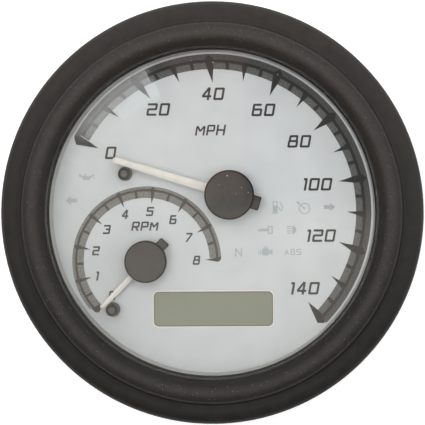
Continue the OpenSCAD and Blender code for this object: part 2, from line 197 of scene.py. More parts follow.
DUST = col(0.36, 0.33, 0.28)
MAT = {
    "gasket": Surface("moulded_gasket_rubber", col(0.0108, 0.0089, 0.0075), 0.5, mottle=(260, 0.22), grain=(4200, 0.16), rough_var=0.06,
                      bump=(4200, 0.00003, 0.55), swell=(420, 0.00012), dust=(0.95, 0.12, DUST, 0.9, (43.2, 45.8)), plain={"Specular IOR Level": 0.32}),
    "bezel": Surface("bezel_black_paint", col(0.01), 0.2, mottle=(500, 0.12), bump=(3800, 0.0000006, 0.2), rough_var=0.03, plain={"Specular IOR Level": 1.0}),
    "trim": Surface("trim_satin_silver", col(0.33, 0.33, 0.315), 0.48, mottle=(300, 0.05), grain=(7000, 0.05), bump=(6500, 0.000004, 0.4)),
    "dial": Surface("dial_satin_silver_film", col(0.494, 0.506, 0.518), 0.55, mottle=(120, 0.018), grain=(9000, 0.028), rough_var=0.05,
                    bump=(9000, 0.0000025, 0.35), tint=col(0.507, 0.525, 0.532), plain={"Specular IOR Level": 0.25}),
    "ink": Surface("print_black_ink", col(0.0095, 0.009, 0.0085), 0.5, mottle=(900, 0.2), grain=(8000, 0.25), bump=(8000, 0.000002, 0.3), plain={"Specular IOR Level": 0.5}),
    "ink_grey": Surface("print_grey_halftone", col(0.084, 0.084, 0.084), 0.55, mottle=(2500, 0.22), grain=(3000, 0.36), bump=(8000, 0.000002, 0.3), plain={"Specular IOR Level": 0.5}),
    "ink_outer": Surface("print_dark_grey_halftone", col(0.055, 0.055, 0.055), 0.55, mottle=(2500, 0.2), grain=(3000, 0.36), bump=(8000, 0.000002, 0.3), plain={"Specular IOR Level": 0.5}),
    "ink_tach": Surface("print_brown_grey_ink", col(0.036, 0.031, 0.027), 0.5, mottle=(900, 0.15), grain=(8000, 0.2), bump=(8000, 0.000002, 0.3), plain={"Specular IOR Level": 0.5}),
    "ink_tach_grey": Surface("print_brown_grey_halftone", col(0.148, 0.143, 0.134), 0.55, mottle=(2500, 0.2), grain=(3000, 0.32), bump=(8000, 0.000002, 0.3), plain={"Specular IOR Level": 0.5}),
    "numeral": Surface("print_numeral_ink", col(0.019, 0.017, 0.016), 0.5, mottle=(900, 0.2), grain=(8000, 0.2), bump=(8000, 0.000002, 0.3), plain={"Specular IOR Level": 0.5}),
    "numeral_tach": Surface("print_small_numeral_ink", col(0.034, 0.03, 0.027), 0.5, mottle=(900, 0.2), grain=(8000, 0.2), bump=(8000, 0.000002, 0.3), plain={"Specular IOR Level": 0.5}),
    "icon": Surface("print_pale_symbol_ink", col(0.31, 0.34, 0.36), 0.55, mottle=(900, 0.04), grain=(8000, 0.05), bump=(8000, 0.000002, 0.3), plain={"Specular IOR Level": 0.5}),
    "needle": Surface("needle_cream_plastic", col(0.58, 0.553, 0.507), 0.45, mottle=(500, 0.035), grain=(6000, 0.03), bump=(5000, 0.000004, 0.4)),
    "cap": Surface("cap_satin_black", col(0.036, 0.0335, 0.03), 0.36, mottle=(700, 0.14), grain=(5200, 0.14), rough_var=0.06,
                   bump=(5200, 0.00001, 0.5), dust=(1.7, 0.05, DUST, 0.6, None), plain={"Specular IOR Level": 0.5}),
    # the cap's sides and chamfer are coloured much darker than its top and reflect little
    "cap_side": Surface("cap_dark_edge", col(0.004, 0.0038, 0.0035), 0.4, mottle=(700, 0.1), bump=(5200, 0.000006, 0.4), plain={"Specular IOR Level": 0.1}),
    "pin": Surface("pin_satin_black", col(0.02, 0.0185, 0.016), 0.38, mottle=(900, 0.15), grain=(6000, 0.12), bump=(5200, 0.000008, 0.5), plain={"Specular IOR Level": 0.25}),
    # painted light: the pin's flat top is coloured three times paler than its sides, where light from above catches it
    "pin_top": Surface("pin_top_painted_light", col(0.062, 0.058, 0.05), 0.5, mottle=(1500, 0.2), grain=(6000, 0.15), bump=(4200, 0.000012, 0.6)),
    "lcd": Surface("display_grey_green_glass", col(0.178, 0.192, 0.139), 0.4, mottle=(160, 0.03), grain=(7000, 0.05), tint=col(0.175, 0.188, 0.141),
                   rough_var=0.03, bump=(9000, 0.000001, 0.2), dust=(2.6, 0.05, col(0.45, 0.44, 0.36), 0.6, None)),
    # painted shade: the gold-brown ring stands for the shaded inner wall of the display window
    "lcd_rim": Surface("display_rim_shade_paint", col(0.15, 0.115, 0.062), 0.45, mottle=(1400, 0.12), grain=(7000, 0.1), bump=(6000, 0.000004, 0.4)),
    # painted highlight: the pale ring stands for the lit cut edge of the dial window
    "edge": Surface("window_edge_painted_highlight", col(0.62, 0.59, 0.53), 0.5, mottle=(900, 0.05), grain=(8000, 0.05), bump=(8000, 0.000002, 0.3)),
    "frame_cream": Surface("display_frame_cream", col(0.63, 0.58, 0.475), 0.55, mottle=(400, 0.04), bump=(4200, 0.000008, 0.5)),
    "housing": Surface("housing_moulded_black", col(0.021, 0.021, 0.022), 0.5, mottle=(240, 0.14), grain=(2600, 0.14), rough_var=0.08,
                       bump=(2400, 0.00004, 0.5), swell=(160, 0.00015), dust=(3.1, 0.05, DUST, 0.35, None)),
    "seal": Surface("seal_rubber", col(0.014, 0.0135, 0.013), 0.62, mottle=(600, 0.15), bump=(3000, 0.00002, 0.5)),
    "guide": Surface("light_guide_acrylic", col(0.72, 0.79, 0.83), 0.22, mottle=(300, 0.03), bump=(2600, 0.000005, 0.3)),
    "tray": Surface("tray_white_plastic", col(0.78, 0.775, 0.75), 0.5, mottle=(300, 0.04), bump=(3000, 0.00001, 0.5)),
    "diffuser": Surface("diffuser_white", col(0.84, 0.84, 0.82), 0.6, mottle=(500, 0.03), bump=(3000, 0.00001, 0.5)),
    "strip": Surface("conductive_rubber", col(0.06, 0.06, 0.066), 0.7, mottle=(600, 0.2), grain=(9000, 0.3), bump=(5000, 0.00002, 0.6), stretch=(6, 1, 1)),
    "steel": Surface("shaft_steel", col(0.56, 0.56, 0.57), 0.22, 1.0, mottle=(900, 0.06), bump=(5000, 0.000003, 0.4), stretch=(1, 1, 8)),
    "acetal": Surface("gear_acetal", col(0.76, 0.74, 0.68), 0.45, mottle=(600, 0.04), bump=(4000, 0.000008, 0.5)),
    "ferrite": Surface("rotor_ferrite", col(0.05, 0.05, 0.053), 0.6, mottle=(1400, 0.25), grain=(7000, 0.3), bump=(5200, 0.00002, 0.6)),
    "motor": Surface("motor_case_plastic", col(0.7, 0.7, 0.67), 0.5, mottle=(300, 0.04), bump=(3500, 0.00001, 0.5)),
    "stator": Surface("stator_steel", col(0.36, 0.36, 0.375), 0.36, 1.0, mottle=(900, 0.12), bump=(3500, 0.00001, 0.5), stretch=(1, 1, 30)),
    "copper": Surface("coil_copper_wire", col(0.62, 0.25, 0.09), 0.3, 1.0, mottle=(600, 0.1), grain=(4000, 0.2), bump=(3200, 0.00006, 1.0), stretch=(6, 1, 1)),
    "tinned": Surface("tinned_brass", col(0.66, 0.62, 0.52), 0.28, 1.0, mottle=(1400, 0.1), bump=(5000, 0.000006, 0.4)),
    "board": Surface("board_solder_mask", col(0.012, 0.105, 0.04), 0.34, mottle=(420, 0.25), grain=(2300, 0.2), tint=col(0.02, 0.16, 0.065),
                     rough_var=0.12, bump=(1500, 0.00002, 0.5)),
    "led": Surface("led_lens", col(0.83, 0.79, 0.58), 0.25, mottle=(1600, 0.1), bump=(5200, 0.000006, 0.4)),
    "chip": Surface("chip_epoxy", col(0.02, 0.02, 0.021), 0.55, mottle=(900, 0.15), grain=(6000, 0.2), bump=(5200, 0.00001, 0.5)),
    "can": Surface("can_aluminium", col(0.62, 0.62, 0.63), 0.3, 1.0, mottle=(900, 0.06), bump=(5200, 0.000004, 0.4), stretch=(1, 1, 6)),
    "zinc": Surface("screw_zinc", col(0.58, 0.585, 0.6), 0.3, 1.0, mottle=(900, 0.1), bump=(4200, 0.000008, 0.5)),
    "membrane": Surface("vent_membrane_cloth", col(0.7, 0.7, 0.69), 0.85, mottle=(900, 0.08), grain=(7000, 0.15), bump=(6500, 0.00003, 0.8)),
    "brass": Surface("insert_brass", col(0.68, 0.47, 0.17), 0.28, 1.0, mottle=(900, 0.1), bump=(4200, 0.00001, 0.5), stretch=(1, 1, 7)),
    "label": Surface("label_brushed_foil", col(0.52, 0.52, 0.53), 0.38, 0.6, mottle=(500, 0.08), grain=(3000, 0.12), bump=(3800, 0.00001, 0.5), stretch=(0.12, 3, 1)),
    "dust": Surface("settled_dust", col(0.8, 0.77, 0.7), 0.9, mottle=(3000, 0.2), grain=(9000, 0.2), bump=(9000, 0.00002, 0.6)),
}


def paint_dial_shade(s):
    """Painted shade: the silver film's colour is darkened towards the lower and left edge, where the dial lies in
    shade.
    """
    sx = s.add("ShaderNodeSeparateXYZ")
    s.link(s.co, sx.inputs[0])
    slant = s.math("ADD", s.math("MULTIPLY", sx.outputs["X"], 0.75), sx.outputs["Y"])
    f = s.maprange(slant, 20 * MM, -55 * MM, 0.0, 1.0)
    src = s.b.inputs["Base Color"].links[0].from_socket
    s.link(s.blend("MULTIPLY", src, (0.845, 0.85, 0.855, 1.0), f), s.b.inputs["Base Color"])


paint_dial_shade(MAT["dial"])


def add_print_reflection_patch(s, weight):
    """Painted reflection: a mirror lobe is added to the print only in the sector between 112 and 151 degrees, so that
    this part of the speed band mirrors a bright window.
    """
    sx = s.add("ShaderNodeSeparateXYZ")
    s.link(s.co, sx.inputs[0])
    turn = s.math("ARCTAN2", sx.outputs["Y"], sx.outputs["X"])
    mask = s.math("MULTIPLY", s.maprange(turn, math.radians(112), math.radians(113.5), 0.0, 1.0), s.maprange(turn, math.radians(151), math.radians(145), 0.0, 1.0))
    shine = s.add("ShaderNodeBsdfGlossy")
    shine.inputs["Roughness"].default_value = 0.0
    s.link(s.blend("MIX", (0, 0, 0, 1), (weight, weight, weight, 1), mask), shine.inputs["Color"])
    both = s.add("ShaderNodeAddShader")
    s.link(s.b.outputs["BSDF"], both.inputs[0])
    s.link(shine.outputs[0], both.inputs[1])
    s.link(both.outputs[0], s.out.inputs["Surface"])


# painted reflection on the three dark prints of the speed band
add_print_reflection_patch(MAT["ink"], 0.035)
add_print_reflection_patch(MAT["ink_grey"], 0.06)
add_print_reflection_patch(MAT["ink_outer"], 0.035)


def paint_gasket_light(s):
    """Painted highlight: the crest of the bead is coloured paler than its flanks, broken up by noise."""
    sx = s.add("ShaderNodeSeparateXYZ")
    s.link(s.co, sx.inputs[0])
    crest_highlight = s.math("MULTIPLY", s.maprange(sx.outputs["Z"], 46.1 * MM, 46.82 * MM, 0.0, 1.0), s.maprange(s.noise(900, 4), 0.3, 0.62, 0.55, 1.0))
    src = s.b.inputs["Base Color"].links[0].from_socket
    pale = s.blend("ADD", src, (0.021, 0.0188, 0.0165, 1.0), crest_highlight)
    # painted light: the upper side of the ring is coloured paler, as if lit from above, broken up by noise
    high = s.math("MULTIPLY", s.maprange(sx.outputs["Y"], -30 * MM, 64 * MM, 0.0, 1.0), s.maprange(s.noise(500, 3), 0.3, 0.7, 0.75, 1.1))
    s.link(s.blend("ADD", pale, (0.0165, 0.0136, 0.0112, 1.0), high), s.b.inputs["Base Color"])


paint_gasket_light(MAT["gasket"])


def clear_lens():
    """Clear moulded lens: a glass for light that is seen, and clear for shadows."""
    s = Surface("lens_clear_plastic", col(0.985, 0.99, 0.985), 0.0, mottle=(200, 0.006), grain=(4000, 0.004), rough_var=0.0, bump=None)
    for sock in ("Roughness",):
        for link in list(s.b.inputs[sock].links):
            s.nt.links.remove(link)
        s.b.inputs[sock].default_value = 0.0
    s.b.inputs["Transmission Weight"].default_value = 1.0
    s.b.inputs["IOR"].default_value = 1.49
    tr = s.add("ShaderNodeBsdfTransparent")
    tr.inputs[0].default_value = (1, 1, 1, 1)
    lp = s.add("ShaderNodeLightPath")
    mx = s.add("ShaderNodeMixShader")
    s.link(lp.outputs["Is Shadow Ray"], mx.inputs[0])
    s.link(s.b.outputs[0], mx.inputs[1])
    s.link(tr.outputs[0], mx.inputs[2])
    s.link(mx.outputs[0], s.out.inputs["Surface"])
    return s


MAT["lens"] = clear_lens()


# ---------------------------------------------------------------- mesh helpers
def obj_from(name, verts, faces, mats, body, replaces=(), face_mat=None, smooth=32, fix=True):
    me = bpy.data.meshes.new(name)
    me.from_pydata([(x * MM, y * MM, z * MM) for x, y, z in verts], [], faces)
    for m in (mats if isinstance(mats, list) else [mats]):
        me.materials.append(MAT[m].m)
    if face_mat:
        for p, k in zip(me.polygons, face_mat):
            p.material_index = k
    if fix:
        bm = bmesh.new()
        bm.from_mesh(me)
        bmesh.ops.recalc_face_normals(bm, faces=bm.faces)
        bm.to_mesh(me)
        bm.free()
    me.shade_smooth()
    me.set_sharp_from_angle(angle=math.radians(smooth))
    o = bpy.data.objects.new(name, me)
    bpy.context.scene.collection.objects.link(o)
    if body:
        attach(o, body)
    if replaces:
        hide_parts(*replaces)
    return o


def fillet(pts, rad, steps=4, closed=True):
    """Rounds the corners of a path; rad is one radius or one per point."""
    n, out = len(pts), []
    for i, p in enumerate(pts):
        r = rad[i] if isinstance(rad, (list, tuple)) else rad
        if r <= 0 or (not closed and i in (0, n - 1)):
            out.append(tuple(p))
            continue
        p0, a, b = Vector(p), Vector(pts[i - 1]), Vector(pts[(i + 1) % n])
        u, v = (a - p0), (b - p0)
        lu, lv = u.length, v.length
        u.normalize(), v.normalize()
        ang = math.acos(max(-1, min(1, u.dot(v))))
        if ang > math.radians(176) or ang < 1e-3:
            out.append(tuple(p))
            continue
        t = min(r / math.tan(ang / 2), 0.48 * lu, 0.48 * lv)
        rr = t * math.tan(ang / 2)
        c = p0 + (u + v).normalized() * (rr / math.sin(ang / 2))
        s, e = p0 + u * t - c, p0 + v * t - c
        a0, a1 = math.atan2(s.y, s.x), math.atan2(e.y, e.x)
        d = (a1 - a0 + math.pi) % (2 * math.pi) - math.pi
        for k in range(steps + 1):
            w = a0 + d * k / steps
            out.append((c.x + rr * math.cos(w), c.y + rr * math.sin(w)))
    return out


def lathe_mesh(prof, n=256, at=(0, 0), wobble=None):
    """Closed (r, z) profile turned about +Z. Points with r 0 become poles."""
    verts, faces, rows = [], [], []
    for r, z in prof:
        if r < 1e-6:
            rows.append([len(verts)] * n)
            verts.append((at[0], at[1], z))
            continue
        row = []
        for k in range(n):
            a = 2 * math.pi * k / n
            row.append(len(verts))
            dr = wobble(r, z, a) if wobble else 0.0
            verts.append((at[0] + (r + dr) * math.cos(a), at[1] + (r + dr) * math.sin(a), z))
        rows.append(row)
    m = len(rows)
    for i in range(m):
        p, q = rows[i], rows[(i + 1) % m]
        if p[0] == p[1] and q[0] == q[1]:
            continue
        for k in range(n):
            k2 = (k + 1) % n
            f = [p[k], p[k2], q[k2], q[k]]
            f = [f[j] for j in range(4) if f[j] != f[j - 1]]
            if len(set(f)) >= 3:
                faces.append(f)
    return verts, faces


def lathe(name, prof, mat, body, replaces=(), n=256, at=(0, 0), smooth=32, wobble=None):
    v, f = lathe_mesh(prof, n, at, wobble)
    return obj_from(name, v, f, mat, body, replaces, smooth=smooth)


def area2(p):
    return sum(p[i - 1][0] * p[i][1] - p[i][0] * p[i - 1][1] for i in range(len(p)))


def inside(p, poly):
    x, y = p
    hit = False
    for i in range(len(poly)):
        (x0, y0), (x1, y1) = poly[i - 1], poly[i]
        if (y0 > y) != (y1 > y) and x < (x1 - x0) * (y - y0) / (y1 - y0) + x0:
            hit = not hit
    return hit


def merge2d(polys):
    """One clean triangulation of everything that the polygons cover."""
    vs, es, boxes = [], [], []
    for p in polys:
        k, n = len(vs), len(p)
        vs += [Vector((x, y)) for x, y in p]
        es += [(k + i, k + (i + 1) % n) for i in range(n)]
        boxes.append((min(q[0] for q in p), max(q[0] for q in p), min(q[1] for q in p), max(q[1] for q in p), p))
    v, e, f, ov, oe, of = delaunay_2d_cdt(vs, es, [], 0, 1e-4, True)
    tris = []
    for t in f:
        a = [v[i] for i in t]
        if abs(area2([tuple(q) for q in a])) < 1e-7:
            continue
        c = ((a[0].x + a[1].x + a[2].x) / 3, (a[0].y + a[1].y + a[2].y) / 3)
        if any(b[0] <= c[0] <= b[1] and b[2] <= c[1] <= b[3] and inside(c, b[4]) for b in boxes):
            tris.append(list(t))
    used = sorted({i for t in tris for i in t})
    new = {i: k for k, i in enumerate(used)}
    return [tuple(v[i]) for i in used], [[new[i] for i in t] for t in tris]


def prism_data(polys, z0, z1):
    """Closed prism over a set of polygons, as (vertices, faces)."""
    v2, tris = merge2d(polys)
    n = len(v2)
    verts = [(x, y, z1) for x, y in v2] + [(x, y, z0) for x, y in v2]
    faces, edges = [], {}
    for t in tris:
        a = [v2[i] for i in t]
        t = list(t) if area2(a) > 0 else list(t)[::-1]
        faces.append(t)
        faces.append([i + n for i in t[::-1]])
        for i in range(len(t)):
            e = (t[i - 1], t[i])
            edges[e] = edges.get(e, 0) + 1
    for a, b in list(edges):
        if (b, a) not in edges:
            faces.append([b, a, a + n, b + n])
    return verts, faces


def prism(name, polys, z0, z1, mat, body="case", smooth=20):
    v, f = prism_data(polys, z0, z1)
    return obj_from(name, v, f, mat, body, smooth=smooth, fix=False)


def join(name, parts, mats, body, replaces=(), smooth=32):
    """Several closed shells, each with its own material number, as one piece."""
    verts, faces, which = [], [], []
    for (v, f), k in parts:
        n = len(verts)
        verts += v
        faces += [[i + n for i in q] for q in f]
        which += k if isinstance(k, list) else [k] * len(f)
    return obj_from(name, verts, faces, mats, body, replaces, face_mat=which, smooth=smooth)


def boolean(a, b, op):
    """a op b, where both are objects; b is removed. The result stays in a."""
    md = a.modifiers.new("b", "BOOLEAN")
    md.object, md.operation, md.solver = b, op, "EXACT"
    if hasattr(md, "material_mode"):
        md.material_mode = "TRANSFER"
    dg = bpy.context.evaluated_depsgraph_get()
    me = bpy.data.meshes.new_from_object(a.evaluated_get(dg), preserve_all_data_layers=True, depsgraph=dg)
    a.modifiers.remove(md)
    old = a.data
    a.data = me
    bpy.data.meshes.remove(old)
    me_b = b.data
    bpy.data.objects.remove(b)
    bpy.data.meshes.remove(me_b)
    return a


def ringpoly(r0, r1, a0, a1, at=(0, 0), step=1.0):
    """Quads of a ring's sector between two angles in degrees, clockwise or not."""
    n = max(1, int(math.ceil(abs(a1 - a0) / step)))
    out = []
    for i in range(n):
        t0, t1 = math.radians(a0 + (a1 - a0) * i / n), math.radians(a0 + (a1 - a0) * (i + 1) / n)
        out.append([(at[0] + r0 * math.cos(t0), at[1] + r0 * math.sin(t0)), (at[0] + r1 * math.cos(t0), at[1] + r1 * math.sin(t0)),
                    (at[0] + r1 * math.cos(t1), at[1] + r1 * math.sin(t1)), (at[0] + r0 * math.cos(t1), at[1] + r0 * math.sin(t1))])
    return out


def disc(c, r, n=14):
    return [(c[0] + r * math.cos(2 * math.pi * i / n), c[1] + r * math.sin(2 * math.pi * i / n)) for i in range(n)]


def stroke(pts, w, closed=False, joins=True):
    """Polygons of a thick line with round corners and square ends."""
    out, n = [], len(pts)
    for i in range(n if closed else n - 1):
        a, b = Vector(pts[i]), Vector(pts[(i + 1) % n])
        d = b - a
        if d.length < 1e-6:
            continue
        d.normalize()
        m = Vector((-d.y, d.x)) * (w / 2)
        out.append([tuple(a + m), tuple(a - m), tuple(b - m), tuple(b + m)])
    if joins:
        for i in range(n) if closed else range(1, n - 1):
            out.append(disc(pts[i], w / 2, 12))
    return out


# ---------------------------------------------------------------- front: gasket, bezel, lens, trim
def seat(prof, radii, steps=5):
    return fillet(prof, radii, steps)


gasket_prof = [
    (51.3, 43.85), (51.42, 44.35), (51.95, 45.05), (52.7, 45.75), (53.6, 46.35), (54.6, 46.76), (55.45, 46.85),
    (56.35, 46.68), (57.2, 46.32), (57.95, 45.8), (58.48, 45.2), (58.68, 44.5), (58.78, 43.2),
    (59.4, 42.95), (60.6, 43.16), (61.7, 43.05), (62.9, 42.66), (64.1, 42.05), (64.98, 41.2), (65.08, 40.4), (65.0, 39.7), (64.6, 39.0), (63.9, 38.52),
    (58.0, 38.5), (58.0, 31.0), (57.5, 30.5), (56.1, 30.5), (55.6, 31.0), (55.6, 43.85)]
gasket_rad = [0.05, 0.6, 2.0, 2.5, 3.0, 3.0, 3.0, 2.5, 1.5, 1.0, 1.5, 1.2, 0.45, 0.8, 2.5, 3.0, 3.0, 1.6, 1.2, 1.0, 1.0, 0.8, 0.6, 0.3, 0.3, 0.4, 0.4, 0.3, 0.0]


def gasket_wobble(r, z, a):
    # soft rubber is never perfectly round; nothing of it may leave the seat or the outer size
    if z > 44.2 or (r > 59.5 and r < 64):
        return 0.05 * math.sin(3 * a + 0.7) * math.sin(7 * a) - 0.03
    return 0.0


lathe("gasket_moulding", fillet(gasket_prof, gasket_rad, 5), "gasket", "case", ("mounting_gasket",), n=320, smooth=50, wobble=gasket_wobble)
# the mould's parting line round the flange
lathe("gasket_parting_line", fillet([(64.95, 40.25), (65.1, 40.3), (65.1, 40.42), (64.95, 40.47)], 0.03, 2), "gasket", "case", n=320)

lathe("bezel_rim", fillet(
    [(50.62, 43.05), (50.62, 43.3), (50.68, 43.36), (50.96, 43.8), (51.04, 43.85), (51.4, 43.85), (55.6, 43.82), (55.6, 25.8), (55.0, 25.2), (52.2, 25.2), (52.2, 26.0), (54.8, 26.0), (54.8, 43.05)],
    [0.05, 0.03, 0.03, 0.06, 0.06, 0.05, 0.3, 0.3, 0.3, 0.1, 0.1, 0.3, 0.0], 4), "bezel", "case", ("bezel_ring",), n=320)


def dome_profile():
    top, low = [], []
    for i in range(25):
        r = 50.0 * i / 24
        top.append((r, 43.05 + 1.0 * (1 - (r / 50.0) ** 2)))
    for i in range(25):
        r = 49.0 * i / 24
        low.append((r, 40.0 + 1.0 * (1 - (r / 49.0) ** 2)))
    return [(54.3, 40.0), (54.3, 42.65), (53.9, 43.05)] + top[::-1] + low


lathe("lens_dome", dome_profile(), "lens", "case", ("lens",), n=320, smooth=20)

lathe("trim_wall", fillet(
    [(49.75, 30.0), (50.1, 38.8), (50.4, 39.2), (53.9, 39.2), (53.9, 29.2), (52.7, 29.2), (52.7, 38.0), (51.3, 38.0), (50.9, 30.0)],
    [0.0, 0.35, 0.3, 0.2, 0.1, 0.1, 0.2, 0.3, 0.0], 5), "trim", "case", ("trim_ring",), n=320)

# ---------------------------------------------------------------- dial print
CEN = (-0.04, -0.01)        # centre of the printed bands
PIV = (5.58, 5.38)          # point to which the speed marks run
TPV = (-20.74, -15.02)      # centre of the tachometer's scale
R_IN, R_BLK, R_RING, R_OUT = 44.45, 46.5, 47.45, 49.13
T_IN, T_BLK, T_RING, T_OUT = 19.6, 21.65, 22.35, 23.2


def pol(c, r, a):
    return (c[0] + r * math.cos(math.radians(a)), c[1] + r * math.sin(math.radians(a)))


def reach(p, a, r, c=CEN):
    """Distance from p, along angle a, to the circle of radius r about c."""
    dx, dy = math.cos(math.radians(a)), math.sin(math.radians(a))
    px, py = p[0] - c[0], p[1] - c[1]
    b = px * dx + py * dy
    return -b + math.sqrt(b * b - (px * px + py * py - r * r))


def along(p, a, pairs):
    """Polygon symmetric about the ray from p at angle a; pairs are (distance, half width)."""
    d = (math.cos(math.radians(a)), math.sin(math.radians(a)))
    n = (-d[1], d[0])
    left = [(p[0] + u * d[0] + w * n[0], p[1] + u * d[1] + w * n[1]) for u, w in pairs]
    right = [(p[0] + u * d[0] - w * n[0], p[1] + u * d[1] - w * n[1]) for u, w in reversed(pairs) if w > 1e-6]
    return left + right


def speed_mark(v):
    return 160.3 - 1.535 * v


def tach_mark(v):
    return 223.9 - 27.84 * v


dark, grey, outer = [], [], []
grey += ringpoly(R_IN, R_BLK + 0.02, 149.6, -43.3, CEN)
dark += ringpoly(R_BLK, R_RING, 149.4, -43.9, CEN)
outer += ringpoly(R_RING - 0.02, R_OUT, 150.9, -44.6, CEN)
for v in range(10, 140, 10):
    a = speed_mark(v)
    R = lambda r: reach(PIV, a, r)
    if v % 20 == 0:
        dark.append(along(PIV, a, [(R(40.15), 0.0), (R(42.4), 0.44), (R(44.4), 0.92), (R(46.4), 1.2), (R(47.5), 1.36), (R(49.0), 0.0)]))
    else:
        dark.append(along(PIV, a, [(R(41.6), 0.0), (R(43.4), 0.3), (R(45.0), 0.6), (R(46.55), 0.98)]))
for v in range(5, 140, 10):
    a = speed_mark(v)
    R = lambda r: reach(PIV, a, r)
    dark.append(along(PIV, a, [(R(R_IN), 0.5), (R(R_BLK + 0.1), 0.52)]))
dark.append([(-35.44, 20.06), (-42.44, 21.29), (-42.88, 22.79), (-42.93, 23.83), (-40.6, 23.8), (-40.05, 23.2), (-38.55, 22.31)])
dark.append([(29.35, -28.02), (32.23, -34.54), (34.29, -34.55), (34.3, -33.12), (33.83, -31.85), (32.09, -30.25)])
outer.append([(34.2, -33.0), (34.2, -34.4), (34.93, -34.15), (35.3, -33.7)])
prism("print_speed_blocks", grey, 29.985, 30.03, "ink_grey")
prism("print_speed_outer_band", outer, 29.985, 30.034, "ink_outer")
prism("print_speed_marks", dark, 29.985, 30.06, "ink")

dark, grey, outer = [], [], []
grey += ringpoly(T_IN, T_BLK + 0.02, 222.6, 2.2, TPV, 2)
dark += ringpoly(T_BLK, T_RING, 221.8, 1.6, TPV, 2)
outer += ringpoly(T_RING - 0.02, T_OUT, 220.2, 3.0, TPV, 2)
for v in range(1, 8):
    a = tach_mark(v)
    dark.append(along(TPV, a, [(17.85, 0.0), (19.4, 0.31), (21.65, 0.58), (22.35, 0.76), (23.15, 0.0)]))
for i in range(8):
    a = tach_mark(i + 0.5)
    dark.append(along(TPV, a, [(T_IN, 0.37), (T_BLK + 0.1, 0.38)]))
dark.append([(-33.9, -27.7), (-35.72, -30.97), (-36.76, -30.96), (-38.1, -29.7), (-37.1, -29.2), (-34.71, -28.23)])
dark.append([(-2.55, -14.74), (1.53, -15.44), (2.37, -14.7), (2.46, -13.6), (1.5, -14.0), (-0.99, -14.45)])
prism("print_tach_blocks", grey, 29.985, 30.03, "ink_tach_grey")
prism("print_tach_outer_band", outer, 29.985, 30.034, "ink_tach_grey")
prism("print_tach_marks", dark, 29.985, 30.06, "ink_tach")

# strokes of each glyph on a unit box, as (closed, points). T and B run to the glyph's full height, L and R to its full width.
T, B, L, R_ = "T", "B", "L", "R"
GLYPHS = {
    "0": [(1, [(0, 0), (0, 1), (1, 1), (1, 0)])],
    "1": [(0, [(L, 1), (1, 1), (1, B)])],
    "2": [(0, [(L, 1), (1, 1), (1, .52), (0, .52), (0, 0), (R_, 0)])],
    "3": [(0, [(L, 1), (1, 1), (1, 0), (L, 0)]), (0, [(.3, .52), (1, .52)])],
    "4": [(0, [(.72, T), (0.02, .26), (R_, .26)]), (0, [(.76, T), (.76, B)])],
    "5": [(0, [(R_, 1), (0, 1), (0, .55), (1, .55), (1, 0), (L, 0)])],
    "6": [(0, [(.96, 1), (0, 1), (0, 0), (1, 0), (1, .54), (0, .54)])],
    "7": [(0, [(L, 1), (1, 1), (.12, B)])],
    "8": [(1, [(.07, 1), (.93, 1), (.93, .53), (.07, .53)]), (1, [(0, 0), (0, .53), (1, .53), (1, 0)])],
    "M": [(0, [(0, B), (0, 1), (.5, .38), (1, 1), (1, B)])],
    "P": [(0, [(0, B), (0, 1), (1, 1), (1, .42), (0, .42)])],
    "R": [(0, [(0, B), (0, 1), (1, 1), (1, .42), (0, .42)]), (0, [(.5, .42), (1, B)])],
    "H": [(0, [(0, B), (0, T)]), (0, [(1, B), (1, T)]), (0, [(0, .5), (1, .5)])],
    "N": [(0, [(0, B), (0, 1), (1, 0), (1, T)])],
    "A": [(0, [(0, B), (.5, 1), (1, B)]), (0, [(.2, .3), (.8, .3)])],
    "B": [(1, [(0, 0), (0, 1), (.88, 1), (.88, .53), (0, .53)]), (0, [(.7, .53), (1, .53), (1, 0), (0, 0)])],
    "S": [(0, [(R_, 1), (0, 1), (0, .53), (1, .53), (1, 0), (L, 0)])],
}


def word(text, centre, h, w, s, gap, slant, widths={}, round_=0.14):
    """Polygons of a line of glyphs whose box is centred at centre."""
    out, x0 = [], 0.0
    k = math.tan(math.radians(slant))
    for ch in text:
        gw = widths.get(ch, w)
        X = lambda u: 0 if u == "L" else gw if u == "R" else s / 2 + u * (gw - s)
        Y = lambda v: 0 if v == "B" else h if v == "T" else s / 2 + v * (h - s)
        for closed, pts in GLYPHS[ch]:
            p = fillet([(X(u), Y(v)) for u, v in pts], round_, 2, bool(closed))
            for poly in stroke(p, s, bool(closed)):
                out.append([(x0 + x, y) for x, y in poly])
        x0 += gw + gap
    out = [[(x + k * y, y) for x, y in poly] for poly in out]
    xs = [x for p in out for x, y in p]
    ys = [y for p in out for x, y in p]
    dx, dy = centre[0] - (min(xs) + max(xs)) / 2, centre[1] - (min(ys) + max(ys)) / 2
    return [[(x + dx, y + dy) for x, y in p] for p in out]


polys = []
for text, c in (("0", (-31.67, 18.66)), ("20", (-16.8, 32.03)), ("40", (0.35, 36.86)), ("60", (15.87, 31.68)), ("80", (26.94, 21.85)),
                ("100", (32.66, 8.48)), ("120", (33.69, -7.44)), ("140", (28.56, -23.68))):
    polys += word(text, c, 3.9, 3.14, 0.69, 0.7, 10, {"1": 1.2})
prism("print_speed_numerals", polys, 29.985, 30.045, "numeral")
prism("print_speed_unit", word("MPH", (-0.62, 25.52), 3.32, 2.62, 0.56, 0.53, 10, {"M": 2.9, "P": 2.5, "H": 2.7}), 29.985, 30.045, "numeral")
polys = []
for text, c in (("0", (-31.52, -25.69)), ("1", (-36.03, -19.61)), ("2", (-36.48, -11.78)), ("3", (-33.09, -5.16)), ("4", (-27.34, -0.43)),
                ("5", (-19.6, 0.37)), ("6", (-12.51, -2.23)), ("7", (-7.47, -7.83)), ("8", (-5.24, -14.88))):
    polys += word(text, c, 2.86, 2.16, 0.54, 0.5, 10, {"1": 0.84}, 0.1)
polys += word("RPM", (-21.2, -4.26), 2.87, 2.36, 0.55, 0.44, 10, {"M": 2.62}, 0.1)
prism("print_tach_numerals", polys, 29.985, 30.045, "numeral_tach")


